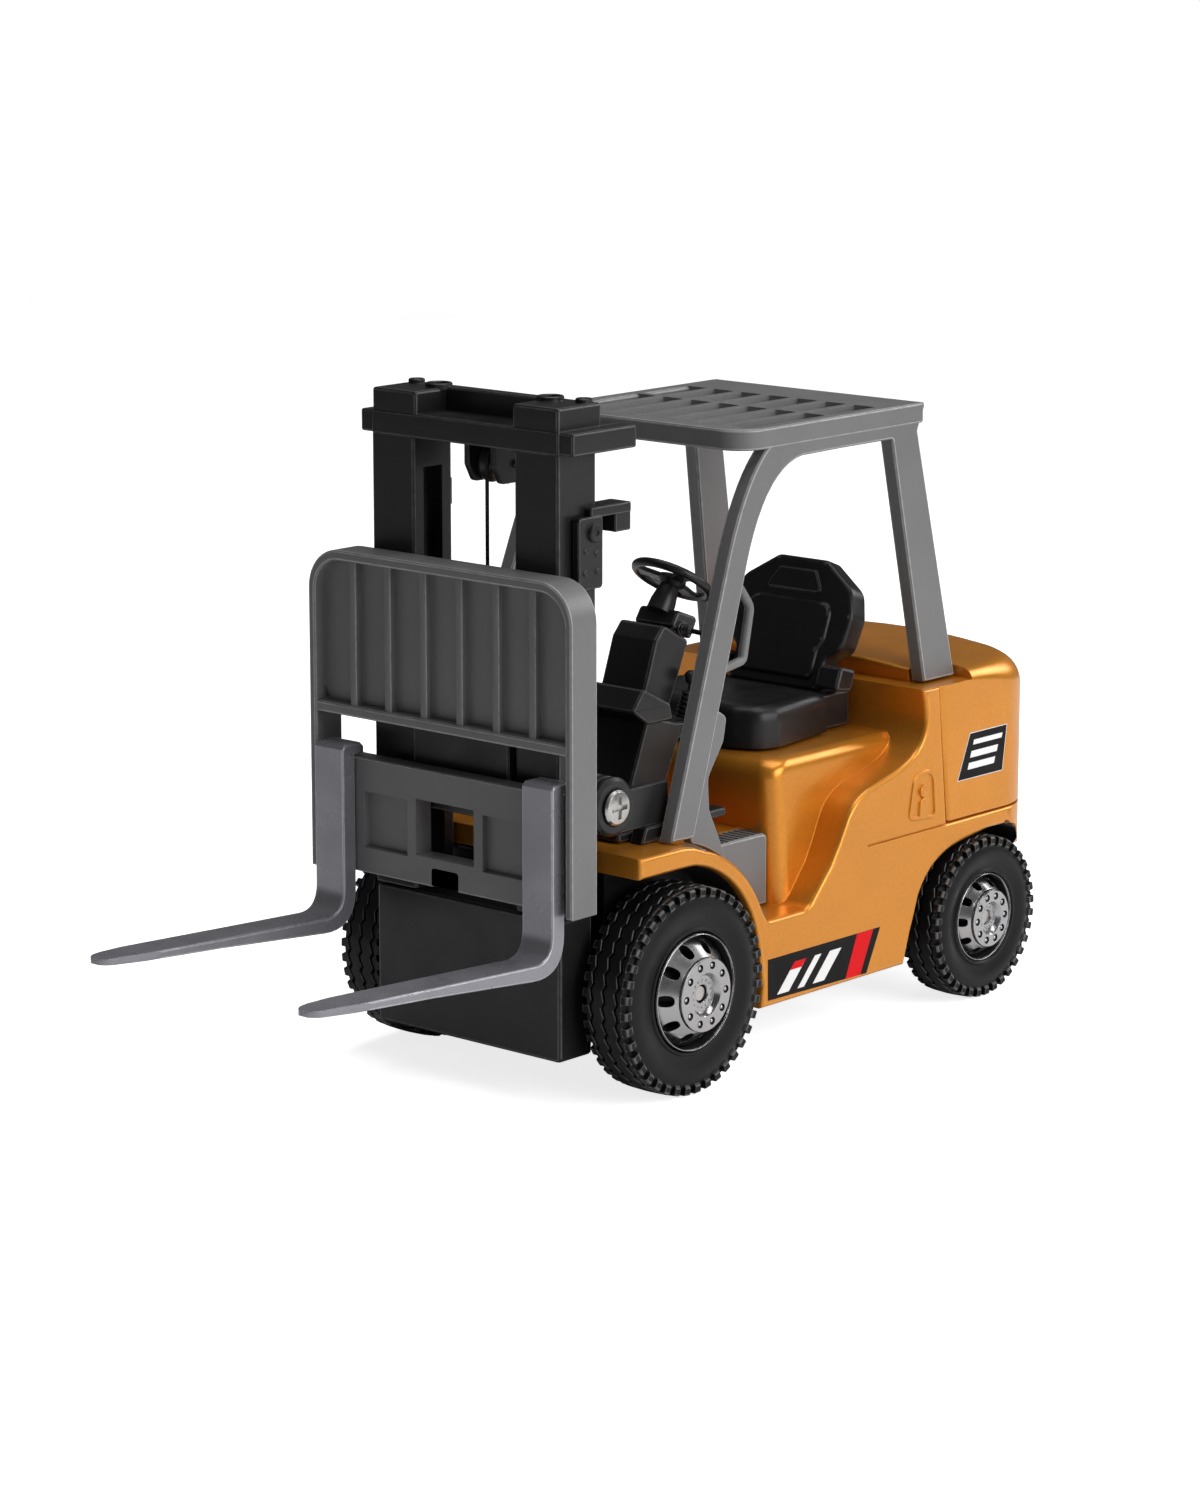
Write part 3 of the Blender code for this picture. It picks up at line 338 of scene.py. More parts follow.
def lathe(profile, place, steps=48, coat=None):
    """(radius, height) profile turned about the local Z axis of place; closed when no end is on the axis."""
    count = len(profile)
    verts, faces = [], []
    for s in range(steps):
        a = 2 * math.pi * s / steps
        verts += [place @ Vector((r * math.cos(a), r * math.sin(a), h)) for r, h in profile]
    for s in range(steps):
        here, there = s * count, (s + 1) % steps * count
        last = count - 1 if min(profile[0][0], profile[-1][0]) < 1e-6 else count
        for i in range(last):
            j = (i + 1) % count
            faces.append((here + i, here + j, there + j, there + i))
    return solid(verts, faces, coat)


def facing(x, y, z, axis=(1, 0, 0)):
    """Placement at a point with local +Z along axis."""
    return Matrix.Translation((x, y, z)) @ Vector(axis).to_track_quat("Z", "Y").to_matrix().to_4x4()


def pin(start, end, radius, r=0.2, coat=None, steps=32):
    """Round rod with rounded ends."""
    length = (Vector(end) - Vector(start)).length
    r = min(r, radius * 0.9, length * 0.45)
    top = [(radius - r + r * math.cos(a), length - r + r * math.sin(a)) for a in (0, 0.52, 1.05, 1.57)]
    low = [(radius - r + r * math.cos(a), r - r * math.sin(a)) for a in (1.57, 1.05, 0.52, 0)]
    way = Vector(end) - Vector(start)
    return lathe([(0, 0)] + low + top + [(0, length)], facing(*start, way), steps, coat)


def tube(points, radius, coat=None, sides=8, closed=False):
    """Round wire along a path, kept square to it."""
    path = [Vector(p) for p in points]
    rings = []
    side = None
    for i, p in enumerate(path):
        before = path[i - 1] if i or closed else path[0]
        after = path[(i + 1) % len(path)] if closed or i + 1 < len(path) else path[-1]
        run = (after - before).normalized()
        side = run.orthogonal() if side is None else (side - run * side.dot(run))
        side.normalize()
        other = run.cross(side)
        rings.append([tuple(p + (side * math.cos(a) + other * math.sin(a)) * radius)
                      for a in (2 * math.pi * k / sides for k in range(sides))])
    return loft(rings, coat, closed)


def moved(thing, matrix):
    thing.data.transform(matrix)
    if matrix.determinant() < 0:
        thing.data.flip_normals()
    return thing


def cut(thing, *tools, operation="DIFFERENCE"):
    """The solid with the tools' space taken out, or another boolean operation."""
    for tool in tools:
        step = thing.modifiers.new("cut", "BOOLEAN")
        step.operation = operation
        step.solver = "EXACT"
        step.material_mode = "TRANSFER"
        step.object = tool
    bpy.context.view_layer.update()
    drawn = thing.evaluated_get(bpy.context.evaluated_depsgraph_get())
    mesh = bpy.data.meshes.new_from_object(drawn)
    thing.modifiers.clear()
    thing.data = mesh
    for tool in tools:
        bpy.data.objects.remove(tool)
    return thing


def flag_strips(bm):
    """Mark the narrow strips that round the edge of a broad face, where a highlight is painted in."""
    layer = bm.faces.layers.float.new(EDGE_FLAG)
    width = {face: face.calc_area() / max(edge.calc_length() for edge in face.edges) for face in bm.faces}
    for face in bm.faces:
        bends = [edge for edge in face.edges
                 if edge.is_convex and EDGE_BEND[0] < edge.calc_face_angle(0.0) < EDGE_BEND[1]]
        broad = any(width[near] > 2 * EDGE_STRIP for edge in bends for near in edge.link_faces)
        face[layer] = float(width[face] < EDGE_STRIP and len(bends) >= 2 and broad)


def piece(name, parts, coat, body, nodes=()):
    """One visible piece made of the given solids, riding on a body in place of some CAD nodes."""
    bm = bmesh.new()
    coats = [coat]
    for part in parts:
        own = list(part.data.materials) or [coat]
        start = len(bm.faces)
        bm.from_mesh(part.data)
        bm.faces.ensure_lookup_table()
        for face in bm.faces[start:]:
            use = own[min(face.material_index, len(own) - 1)] or coat
            if use not in coats:
                coats.append(use)
            face.material_index = coats.index(use)
        bpy.data.objects.remove(part)
    bmesh.ops.transform(bm, matrix=TO_ROW, verts=bm.verts)
    flag_strips(bm)
    mesh = bpy.data.meshes.new(name)
    bm.to_mesh(mesh)
    bm.free()
    for use in coats:
        mesh.materials.append(use)
    mesh.shade_smooth()
    mesh.set_sharp_from_angle(angle=math.radians(SHARP_ANGLE))
    made = shown(name, mesh)
    weighted = made.modifiers.new("weighted", "WEIGHTED_NORMAL")
    weighted.keep_sharp = True
    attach(made, body)
    if nodes:
        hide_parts(*nodes)
    return made


# Wheels

def ribs(radius, half, spans, lugs):
    """Tread ribs with zig-zag edges; spans holds (low, high, low zig-zag, high zig-zag) in tyre heights."""
    made = []
    base = radius - 1.1

    def crown(h):
        return radius - 0.25 * (h / half) ** 2

    for low, high, zig_low, zig_high in spans:
        rings = []
        for i in range(lugs):
            for t, wave in ((0.0, -1.0), (0.325, 0.0), (0.65, 1.0), (0.825, 0.0)):
                a = 2 * math.pi * (i + t) / lugs
                left, right = low + 0.3 * wave * zig_low, high + 0.3 * wave * zig_high
                section = [(base, left), (crown(left) - 0.14, left), (crown(left), left + 0.14),
                           (crown(right), right - 0.14), (crown(right) - 0.14, right), (base, right)]
                rings.append([(r * math.cos(a), r * math.sin(a), h) for r, h in section])
        made.append(loft(rings, closed=True))
    return made


def shoulder_lugs(radius, half, lugs):
    section = [(radius - 0.2, half - 1.3), (radius - 0.22, half - 0.4), (radius - 0.34, half - 0.16),
               (radius - 0.6, half - 0.02), (radius - 1.45, half), (radius - 1.75, half - 0.15),
               (radius - 2.3, half - 0.6), (radius - 2.3, half - 1.5)]
    middle = (radius - 1.2, half - 0.9)
    verts, faces = [], []
    for end in (1, -1):
        for i in range(lugs):
            start = len(verts)
            for t, scale in ((0.05, 0.9), (0.08, 1.0), (0.52, 1.0), (0.55, 0.9)):
                a = 2 * math.pi * (i + t) / lugs
                for r, h in section:
                    r = middle[0] + (r - middle[0]) * scale
                    h = middle[1] + (h - middle[1]) * scale
                    verts.append((r * math.cos(a), r * math.sin(a), h * end))
            n = len(section)
            for k in range(3):
                row = start + k * n
                for j in range(n):
                    q = (j + 1) % n
                    faces.append((row + j, row + q, row + n + q, row + n + j))
            faces.append(tuple(range(start, start + n))[::-1])
            faces.append(tuple(range(start + 3 * n, start + 4 * n)))
    return solid(verts, faces)


def tyre(radius, inner, outer, seat, lugs):
    """Tyre about local Z, centred at height 0."""
    half = (outer - inner) / 2
    wall = radius - 1.6 - seat
    side = [(seat, half - 1.4), (seat + 0.05, half - 0.55), (seat + 0.3, half - 0.28), (seat + 0.62, half - 0.3),
            (seat + 0.85, half - 0.62), (seat + 0.3 * wall, half - 0.52), (seat + 0.45 * wall, half - 0.24),
            (seat + 0.6 * wall, half - 0.1), (seat + 0.74 * wall, half - 0.12), (seat + 0.88 * wall, half - 0.32),
            (seat + wall, half - 0.62), (radius - 1.5, half - 0.85), (radius - 1.35, half - 1.15),
            (radius - 0.85, half - 1.35)]
    carcass = lathe(side + [(r, -h) for r, h in reversed(side)], Matrix.Identity(4), 96)
    gap = 0.24
    spans = [(2.72 + gap, half - 1.18, 1, 0), (gap, 2.72 - gap, 1, 1), (-2.72 + gap, -gap, 1, 1),
             (-half + 1.18, -2.72 - gap, 0, 1)]
    return [carcass, shoulder_lugs(radius, half, lugs)] + ribs(radius, half, spans, lugs)


def rim(lip_r, lip_x, hub_r, hub_x, recess_r, inner_x, nut_r, bolt_r, bore, seat_x):
    """Truck-style rim about local Z with convex hub; heights are measured from the truck's middle."""
    cone_top = (hub_r + 0.12, hub_x - 0.8)
    cone_foot = (lip_r - 0.62, seat_x)
    profile = [
        (bore, seat_x - 1.2), (bore, hub_x - 1.2), (bore + 0.15, hub_x - 1.0), (recess_r - 0.55, hub_x - 1.0),
        (recess_r - 0.2, hub_x - 0.3), (recess_r + 0.06, hub_x), (hub_r - 0.2, hub_x),
        (hub_r - 0.04, hub_x - 0.08), (hub_r, hub_x - 0.25), (hub_r, hub_x - 0.68), cone_top, cone_foot,
        (cone_foot[0], seat_x - 1.2)]
    body = lathe(profile, Matrix.Identity(4), 96, RIM)
    barrel = [(lip_r - 0.2, seat_x - 0.9), (lip_r - 0.2, lip_x - 0.3), (lip_r + 0.08, lip_x - 0.3),
              (lip_r + 0.08, inner_x + 0.6), (lip_r - 0.8, inner_x + 0.6), (lip_r - 0.8, seat_x - 1.1),
              (lip_r - 0.3, seat_x - 1.1)]
    lip = [(lip_r - 0.2, lip_x - 0.4), (lip_r - 0.17, lip_x - 0.12), (lip_r - 0.08, lip_x),
           (lip_r + 0.02, lip_x - 0.05), (lip_r + 0.08, lip_x - 0.2), (lip_r + 0.08, lip_x - 0.4)]
    sleeve_r = bore + 1.2
    sleeve = [(sleeve_r, inner_x + 1.0), (sleeve_r, seat_x - 1.1), (bore, seat_x - 1.1), (bore, inner_x + 1.0)]
    # The barrel behind the lip and the bore sleeve are painted near black as shade of the deep recess.
    bands = [lathe(barrel, Matrix.Identity(4), 96, RIM_SHADE), lathe(lip, Matrix.Identity(4), 96, RIM),
             lathe(sleeve, Matrix.Identity(4), 48, RIM_SHADE)]
    slope = Vector((cone_foot[0] - cone_top[0], 0, cone_foot[1] - cone_top[1]))
    length = slope.length
    slope.normalize()
    outward = Vector((-slope.z, 0, slope.x))
    centre = Vector((cone_top[0], 0, cone_top[1])) + slope * length * 0.47
    # The slot and nut-well cutters carry the near-black material, so the cut faces are painted shade.
    tools = []
    for i in range(10):
        a = 2 * math.pi * (i + 0.5) / 10
        spin = Matrix.Rotation(a, 3, "Z")
        rings = []
        for depth, grow in ((1.2, 1.08), (-0.05, 1.0), (-2.6, 0.86)):
            ring = []
            for k in range(20):
                t = 2 * math.pi * k / 20
                across = math.copysign(abs(math.cos(t)) ** 0.8, math.cos(t)) * lip_r * 0.1 * grow
                along = math.copysign(abs(math.sin(t)) ** 0.8, math.sin(t)) * length * 0.36 * grow
                ring.append(tuple(spin @ (centre + outward * depth + slope * along + Vector((0, across, 0)))))
            rings.append(ring)
        tools.append(loft(rings, RIM_SHADE))
    domes = []
    for i in range(10):
        a = 2 * math.pi * i / 10 - math.pi / 2
        spot = Vector((nut_r * math.cos(a), nut_r * math.sin(a), hub_x))
        well = [(0, -0.45), (0.66, -0.45), (0.7, 0.3), (0, 0.3)]
        tools.append(lathe(well, Matrix.Translation(spot), 14, RIM_SHADE))
        domes.append(lathe([(0, -0.02), (0.2, -0.05), (0.36, -0.16), (0.44, -0.34), (0.44, -0.6), (0, -0.6)],
                           Matrix.Translation(spot), 12, RIM))
    cut(body, *tools)
    for i in range(14):
        a = 2 * math.pi * i / 14
        spot = Vector((bolt_r * math.cos(a), bolt_r * math.sin(a), hub_x - 1.0))
        domes.append(lathe([(0, 0.2), (0.12, 0.17), (0.21, 0.04), (0.21, -0.1), (0, -0.1)],
                           Matrix.Translation(spot), 8, RIM))
    return [body] + bands + domes


def wheel_pair(tag, radius, y, inner, outer, lip_r, lugs, rim_parts):
    middle = (inner + outer) / 2
    for name, side in SIDES:
        turn = Matrix.Translation((0, y, radius)) @ Matrix.Rotation(math.radians(90 * side), 4, "Y")
        place = turn @ Matrix.Translation((0, 0, middle))
        parts = [moved(p, place) for p in tyre(radius, inner, outer, lip_r + 0.1, lugs)]
        piece(f"{tag}_tyre_{name}", parts, TYRE, f"{tag}_wheels", [f"tyre_{tag}_{name}"])
        parts = [moved(p, turn) for p in rim(*rim_parts)]
        piece(f"{tag}_rim_{name}", parts, RIM, f"{tag}_wheels", [f"rim_{tag}_{name}"])


def wheels():
    wheel_pair("front", FRONT_R, 0.0, 23.2, 33.2, 10.1, 40,
               (10.0, 33.3, 6.4, 35.5, 3.7, 23.2, 5.08, 2.35, 1.5, 31.45))
    wheel_pair("rear", REAR_R, WHEELBASE, 23.3, 31.9, 8.1, 36,
               (8.0, 31.45, 5.3, 33.0, 3.0, 23.3, 4.1, 1.95, 1.3, 29.6))


# Body

def body_side():
    """Side view of the body, front of the deck first, over the top, round both wheel openings."""
    wheel = (0.0, AXLE_Z)
    line = [(-10.5, 38.7), (-10.5, 42.3), (1.0, 42.3), (3.5, 41.9)]
    line += arc(wheel, 23.7, 74, 24, 14)
    line += fillet([(21.65, 27.7), (23.2, 25.4, 1.2), (34.0, 25.4, 3.2), (39.6, 31.1)], 5)[1:-1]
    line += [(40.2, 32.0), (42.5, 35.5), (44.2, 38.5)]
    line += bend((44.2, 38.5), (46.6, 43.3), (52.0, 44.3), 7)
    line += [(56.0, 45.25), (59.4, 46.1)]
    line += bend((59.4, 46.1), (67.6, 48.4), (67.3, 55.0), 8)
    line += [(66.9, 57.4), (66.3, SHOULDER), (70.9, SHOULDER), (73.6, WAIST), (BODY_REAR, WAIST)]
    line += [(BODY_REAR, 25.8)] + REAR_ARCH_END[::-1] + [(77.4, 29.7)]
    line += bend((77.4, 29.7), (69.0, 28.4), (65.6, 22.0), 8)
    line += [(64.6, 19.0), (63.4, 16.0), (62.4, 12.9), (61.5, 10.1)]
    line += [(21.4, 10.1), (21.9, 14.0)]
    line += arc(wheel, 20.9, 0, 80, 18)[2:]
    line += [(1.5, 38.7)]
    return line


def rear_edge(x):
    """Y of the body's back at distance x from the middle, with rounded corners and a slight bow."""
    flat = BODY_HALF - CORNER_R
    if abs(x) <= flat:
        return BODY_REAR - (abs(x) / flat) ** 2
    return BODY_REAR - 1.0 - CORNER_R + math.sqrt(max(CORNER_R ** 2 - (abs(x) - flat) ** 2, 0.0))


def arch_height(y):
    """Lower edge of the body side above Y, behind the top of the rear wheel opening."""
    for (y0, z0), (y1, z1) in zip(REAR_ARCH_END, REAR_ARCH_END[1:]):
        if y <= y1:
            return z0 + (z1 - z0) * max(y - y0, 0.0) / (y1 - y0)
    return REAR_ARCH_END[-1][1]


def body_shell():
    outline = widdershins(body_side())
    stations = [(30.0, 0.8), (29.92, 0.46), (29.76, 0.22), (29.5, 0.06), (29.2, 0.0), (28.4, 0.0), (27.2, 0.0),
                (25.6, 0.0), (23.6, 0.0), (21.0, 0.0), (18.0, 0.0), (9.0, 0.0)]
    rings = []
    for x, inset in [(-x, d) for x, d in stations] + [(0.0, 0.0)] + [(x, d) for x, d in reversed(stations)]:
        back = rear_edge(x)
        low = arch_height(back)
        rings.append([(x, min(y, back), max(z, low) if y >= back else z) for y, z in shrink(outline, inset)])
    shell = loft(rings, BODY)
    shell.data.materials.append(BLACK)
    for face in shell.data.polygons:
        x, y, z = face.center
        under_arch = math.hypot(y, z - AXLE_Z) < 21.2 or 62.0 < y < 99.0 and z < 31.2
        if abs(x) < 28.4 and under_arch and abs(face.normal.x) < 0.5:
            face.material_index = 1

    grooves = [block((side * 29.6, side * 31), (50.5, 74.5), (33.72, 34.06), 0.0) for side in (1, -1)]
    long_pan = block((-20.2, 20.2), (-8.4, 99.2), (0, 13.2), 0.0)
    wide_pan = block((-27.5, 27.5), (23.2, 59.9), (0, 13.0), 0.0)
    cut(shell, *grooves, long_pan, wide_pan)

    levels = [(25.0, 0.0, 0.0)]
    for k in range(9):
        a = math.pi / 2 * k / 8
        z = 47.3 + 3.6 * math.sin(a)
        near_top = max((z - 48.7) / 2.2, 0.0)
        levels.append((z, 3.6 * (1 - math.cos(a)), 2.2 * (1 - math.sqrt(max(1 - near_top ** 2, 0.0)))))
    rings = []
    for z, front, side in levels:
        half = 24.5 - (z - 25.0) * 0.066 - side
        plan = fillet([(-half, 32.2 + front, 3.5), (half, 32.2 + front, 3.5), (half, 70.0), (-half, 70.0)], 7)
        rings.append([(x, y, z) for x, y in plan])
    seat_box = loft(rings, BODY)
    tunnel = block((-16.0, 16.0), (3.0, 23.6), (24.0, 42.3), 0.5, BODY, "Y")
    sill = block((-16.0, 16.0), (20.0, 34.0), (24.0, 38.2), 0.5, BODY, "Y")
    parts = [shell, seat_box, tunnel, sill]
    for side in (1, -1):
        parts += latch(side)
    piece("body", parts, BODY, "truck", ["body_shell"])


def latch(side):
    """Raised hatch outline with a small keyhole latch on the body side."""
    x = side * 30.0
    outer = fillet([(61.8, 36.4, 1.2), (70.3, 35.6, 1.2), (69.4, 45.2, 2.6), (63.4, 44.6, 2.6)], 6)
    ring = plate(outer, x - side * 0.5, x + side * 0.28, "X", 0.2, BODY)
    room = plate(shrink(widdershins(outer), 0.7), x - side * 2, x + side * 2, "X", 0.0, BODY)
    cut(ring, room)
    key = plate(fillet([(64.9, 36.0, 0.9), (67.4, 36.0, 0.9), (67.2, 40.0, 1.1), (65.0, 40.0, 1.1)], 6),
                x - side * 0.4, x + side * 0.42, "X", 0.25, BODY)
    barrel = pin((x - side * 0.4, 66.1, 41.2), (x + side * 0.5, 66.1, 41.2), 1.15, 0.2, BODY, 20)
    return [ring, key, barrel]


def hood():
    """Counterweight: plan rings stacked upwards, rounded to the rear, with a crowned top."""
    plan = [(-29.6 + 59.2 * i / 16, 72.9) for i in range(17)]
    plan += [(BODY_HALF, 73.4)] + [(BODY_HALF, 75.0 + 4.0 * i) for i in range(4)]
    corner = arc((18.0, 91.0), CORNER_R, 0, 90, 12)
    back = [(18.0 - 4.5 * i, rear_edge(18.0 - 4.5 * i)) for i in range(1, 8)]
    plan += corner + back + [(-x, y) for x, y in reversed(corner)]
    plan += [(-BODY_HALF, 87.0 - 4.0 * i) for i in range(4)] + [(-BODY_HALF, 73.4)]
    plan = widdershins(plan)

    def seam(y, z):
        share = min(max((76.0 - y) / 3.0, 0.0), 1.0)
        return y + share * ((59.4 - z) / 25.2 * 2.9 - 2.0)

    def top(x):
        return 61.0 + 2.0 * (1 - (x / BODY_HALF) ** 2)

    def eased(y, start, length):
        return min(max((y - start) / length, 0.0), 1.0)

    radii = [0.7 + 1.3 * eased(y, 73.5, 6.0) + 4.3 * eased(y, 80.0, 22.0) ** 1.5 for _, y in plan]
    inward = [Vector(b) - Vector(a) for a, b in zip(plan, shrink(plan, 1.0))]
    rings = []
    for z, inset in ((34.2, 0.3), (34.35, 0.08), (34.6, 0.0), (44.0, 0.0), (53.0, 0.0)):
        rings.append([(p[0] + n.x * inset, seam(p[1] + n.y * inset, z), z) for p, n in zip(plan, inward)])
    for k in range(9):
        a = math.pi / 2 * k / 8
        ring = []
        for (x, y), n, r in zip(plan, inward, radii):
            inset = r * (1 - math.cos(a))
            u, v = x + n.x * inset, y + n.y * inset
            z = top(u) - r + r * math.sin(a)
            ring.append((u, seam(v, z), z))
        rings.append(ring)
    for share in (0.93, 0.8, 0.6, 0.35, 0.1):
        rings.append([(x * share, 86.0 + (y - 86.0) * share, top(x * share)) for x, y, _ in rings[13]])
    shell = loft(rings, BODY)
    notches = [block((side * 22.8, side * 40), (60, 80.3), (SHOULDER, 72), 0.0) for side in (1, -1)]
    cut(shell, *notches)
    piece("hood", [shell], BODY, "truck", ["counterweight"])


def decals():
    """Plain black side bands with a red end stripe and white flashes, and a framed badge on the hood sides."""
    for name, side in SIDES:
        x = side * 30.0

        def film(points, depth, coat):
            return plate(points, x - side * 0.1, x + side * depth, "X", 0.0, coat)

        band = [(22.9, 18.6), (54.2, 18.5), (50.4, 10.8), (23.0, 11.3)]
        stripe = [(47.6, 18.5), (52.2, 18.5), (48.6, 10.83), (44.4, 10.9)]
        flashes = [[(25.4, 11.9), (30.2, 16.9), (33.4, 16.9), (28.6, 11.9)],
                   [(31.0, 11.9), (35.8, 16.9), (37.6, 16.9), (32.8, 11.9)],
                   [(35.2, 11.9), (40.0, 16.9), (43.2, 16.9), (38.4, 11.9)]]
        tip = [(28.9, 15.6), (30.2, 16.9), (33.4, 16.9), (32.1, 15.6)]
        parts = [film(band, 0.05, INK_BLACK), film(stripe, 0.075, INK_RED)]
        parts += [film(points, 0.075, INK_WHITE) for points in flashes]
        parts.append(film(tip, 0.08, INK_RED))
        piece(f"decal_band_{name}", parts, INK_BLACK, "truck")
        badge = [(79.8, 49.6), (91.0, 49.6), (89.8, 41.1), (76.2, 41.15)]
        parts = [film(badge, 0.05, INK_WHITE), film(shrink(widdershins(badge), 0.14), 0.07, INK_BLACK)]
        bars = [[(81.0, 48.2), (89.6, 48.2), (89.3, 47.3), (80.7, 47.3)],
                [(80.3, 46.2), (88.3, 46.2), (87.9, 45.0), (79.9, 45.0)],
                [(79.6, 44.1), (87.5, 44.1), (87.1, 42.9), (79.2, 42.9)]]
        parts += [film(points, 0.09, INK_WHITE) for points in bars]
        piece(f"decal_badge_{name}", parts, INK_BLACK, "truck")


# Mast

def mast():
    parts = []
    for side in (1, -1):
        post = block((side * 11.4, side * 21.1), (-21.0, -11.6), (32.5, 110.3), 0.35, axis="Z", corner=0.5)
        parts.append(cut(post, block((side * 10.0, side * 14.0), (-18.6, -14.1), (30.0, 104.8), 0.0)))
        parts.append(lathe([(0, 0), (4.6, 0), (5.0, 0.4), (5.0, 7.8), (4.7, 8.05), (0, 8.05)],
                           facing(side * 13.0, *PIVOT, (side, 0, 0)), 48))
    parts.append(block((-12.4, 12.4), (-13.8, -11.7), (32.6, 36.6), 0.3))
    piece("mast_columns", parts, BLACK, "mast", ["mast_frame"])

    foot = block((-21.1, 21.1), (-20.8, -12.6), (7.7, 32.2), 0.6, axis="Y", corner=0.8)
    cut(foot, block((-19.3, 19.3), (-18.8, -10.0), (9.5, 30.4), 0.0))
    piece("mast_foot", [foot], BLACK, "mast", ["mast_base"])

    parts = [block((-21.1, 21.1), (-21.0, -5.0), (110.0, 114.0), 0.35)]
    parts.append(block((-11.5, 11.5), (-13.7, -11.0), (113.0, 118.0), 0.35))
    for side in (1, -1):
        parts.append(block((side * 10.9, side * 21.0), (-20.9, -10.2), (112.8, 117.8), 0.5))
        for x, y, r in ((12.6, -13.4, 2.3), (18.9, -12.2, 1.4)):
            collar = [(r - 0.8, 117.4), (r - 0.8, 118.4), (r - 0.6, 118.55), (r - 0.2, 118.55), (r, 118.4),
                      (r, 117.4)]
            parts.append(lathe(collar, facing(side * x, y, 0, (0, 0, 1)), 32))
        parts.append(block((side * 20.0, side * 24.0), (-20.6, -4.8), (110.1, 113.9), 0.4))
        cheek = fillet([(-17.0, 111.0), (-17.0, 106.0, 1.0), (-15.4, 103.0, 1.0), (-9.0, 103.0, 1.0),
                        (-8.0, 104.6, 1.0), (-8.0, 111.0)], 4)
        parts.append(plate(cheek, side * 2.4, side * 3.6, "X", 0.2))
    piece("mast_head", parts, BLACK, "mast", ["mast_cap"])

    sheave = lathe([(0.85, 2.0), (3.4, 2.0), (3.5, 1.8), (3.5, 1.4), (2.75, 0.6), (2.6, 0.0), (2.75, -0.6),
                    (3.5, -1.4), (3.5, -1.8), (3.4, -2.0), (0.85, -2.0)], facing(0, *PULLEY), 40)
    piece("sheave", [sheave], BLACK, "pulley_wheel", ["pulley"])
    reach = 3.2
    over = [(0.0, y, z) for y, z in arc(PULLEY, reach, 0, 180, 17)]
    rope = tube([(0, -12.0 + reach, 104.6)] + over + [(0, -15.2, 95.0), (0, -15.2, 60.0), (0, -15.2, 37.5)], 0.33)
    piece("rope", [rope], CORD, "mast", ["lift_cord"])

    for name, side in SIDES:
        parts = [block((side * 21.4, side * 22.9), (-17.9, -11.9), (87.5, 99.6), 0.3, axis="X", corner=0.7)]
        parts.append(block((side * 18.0, side * 22.6), (-14.5, -4.5), (99.2, 101.0), 0.3))
        parts.append(block((side * 18.0, side * 22.5), (-8.4, -4.5), (96.2, 100.9), 0.3))
        parts.append(lathe([(0, 0), (1.6, 0), (1.6, 0.6), (1.35, 0.9), (0.5, 0.95), (0.42, 0.7), (0, 0.7)],
                           facing(side * 22.7, -14.2, 96.9, (side, 0, 0)), 28))
        for y, z in ((-16.4, 90.4), (-13.4, 90.4), (-16.2, 94.0), (-13.6, 93.4)):
            parts.append(lathe([(0, 0), (0.55, 0), (0.5, 0.2), (0.3, 0.32), (0, 0.34)],
                               facing(side * 22.85, y, z, (side, 0, 0)), 14))
        piece(f"mast_stop_{name}", parts, BLACK, "mast", [f"mast_bracket_{name}"])
        pivot_parts(name, side)


def pivot_parts(name, side):
    bar = plate(fillet([(-11.5, 45.3), (4.6, 45.3, 0.5), (4.6, 52.4, 0.5), (-11.5, 52.4)], 4),
                side * 21.4, side * 23.0, "X", 0.25)
    eye = lathe([(1.35, 0), (4.8, 0), (5.0, 0.2), (5.0, 1.6), (4.8, 1.8), (1.35, 1.8)],
                facing(side * 21.4, *PIVOT, (side, 0, 0)), 48)
    foot = plate(fillet([(-2.6, 42.4), (4.0, 42.4), (4.0, 45.2, 0.4), (-1.4, 45.2, 0.6)], 4),
                 side * 20.4, side * 23.4, "X", 0.4)
    piece(f"tilt_arm_{name}", [bar, eye, foot], BLACK, "truck", [f"pivot_arm_{name}"])
    disc = lathe([(1.35, 0.0), (4.7, 0.0), (5.0, 0.3), (5.0, 1.1), (4.4, 1.7), (3.3, 1.7), (3.1, 1.55),
                  (1.35, 1.55)], facing(side * 23.5, *PIVOT, (side, 0, 0)), 56)
    piece(f"tilt_disc_{name}", [disc], BLACK, "mast", [f"pivot_disc_{name}"])
    at = facing(side * 25.5, *PIVOT, (side, 0, 0))
    head = lathe([(0, -6.0), (0.95, -6.0), (0.95, -0.3), (1.6, -0.28), (2.75, -0.28), (3.02, -0.05), (3.02, 0.12),
                  (2.7, 0.5), (2.0, 0.7), (0.8, 0.8), (0, 0.8)], at, 48)
    for turn in (0, 90):
        spin = at @ Matrix.Rotation(math.radians(turn), 4, "Z")
        tool = block((-1.9, 1.9), (-0.42, 0.42), (0.1, 2.0), 0.0)
        cut(head, moved(tool, spin))
    piece(f"tilt_screw_{name}", [head], STEEL, "mast", [f"pivot_screw_{name}"])


# Carriage and forks

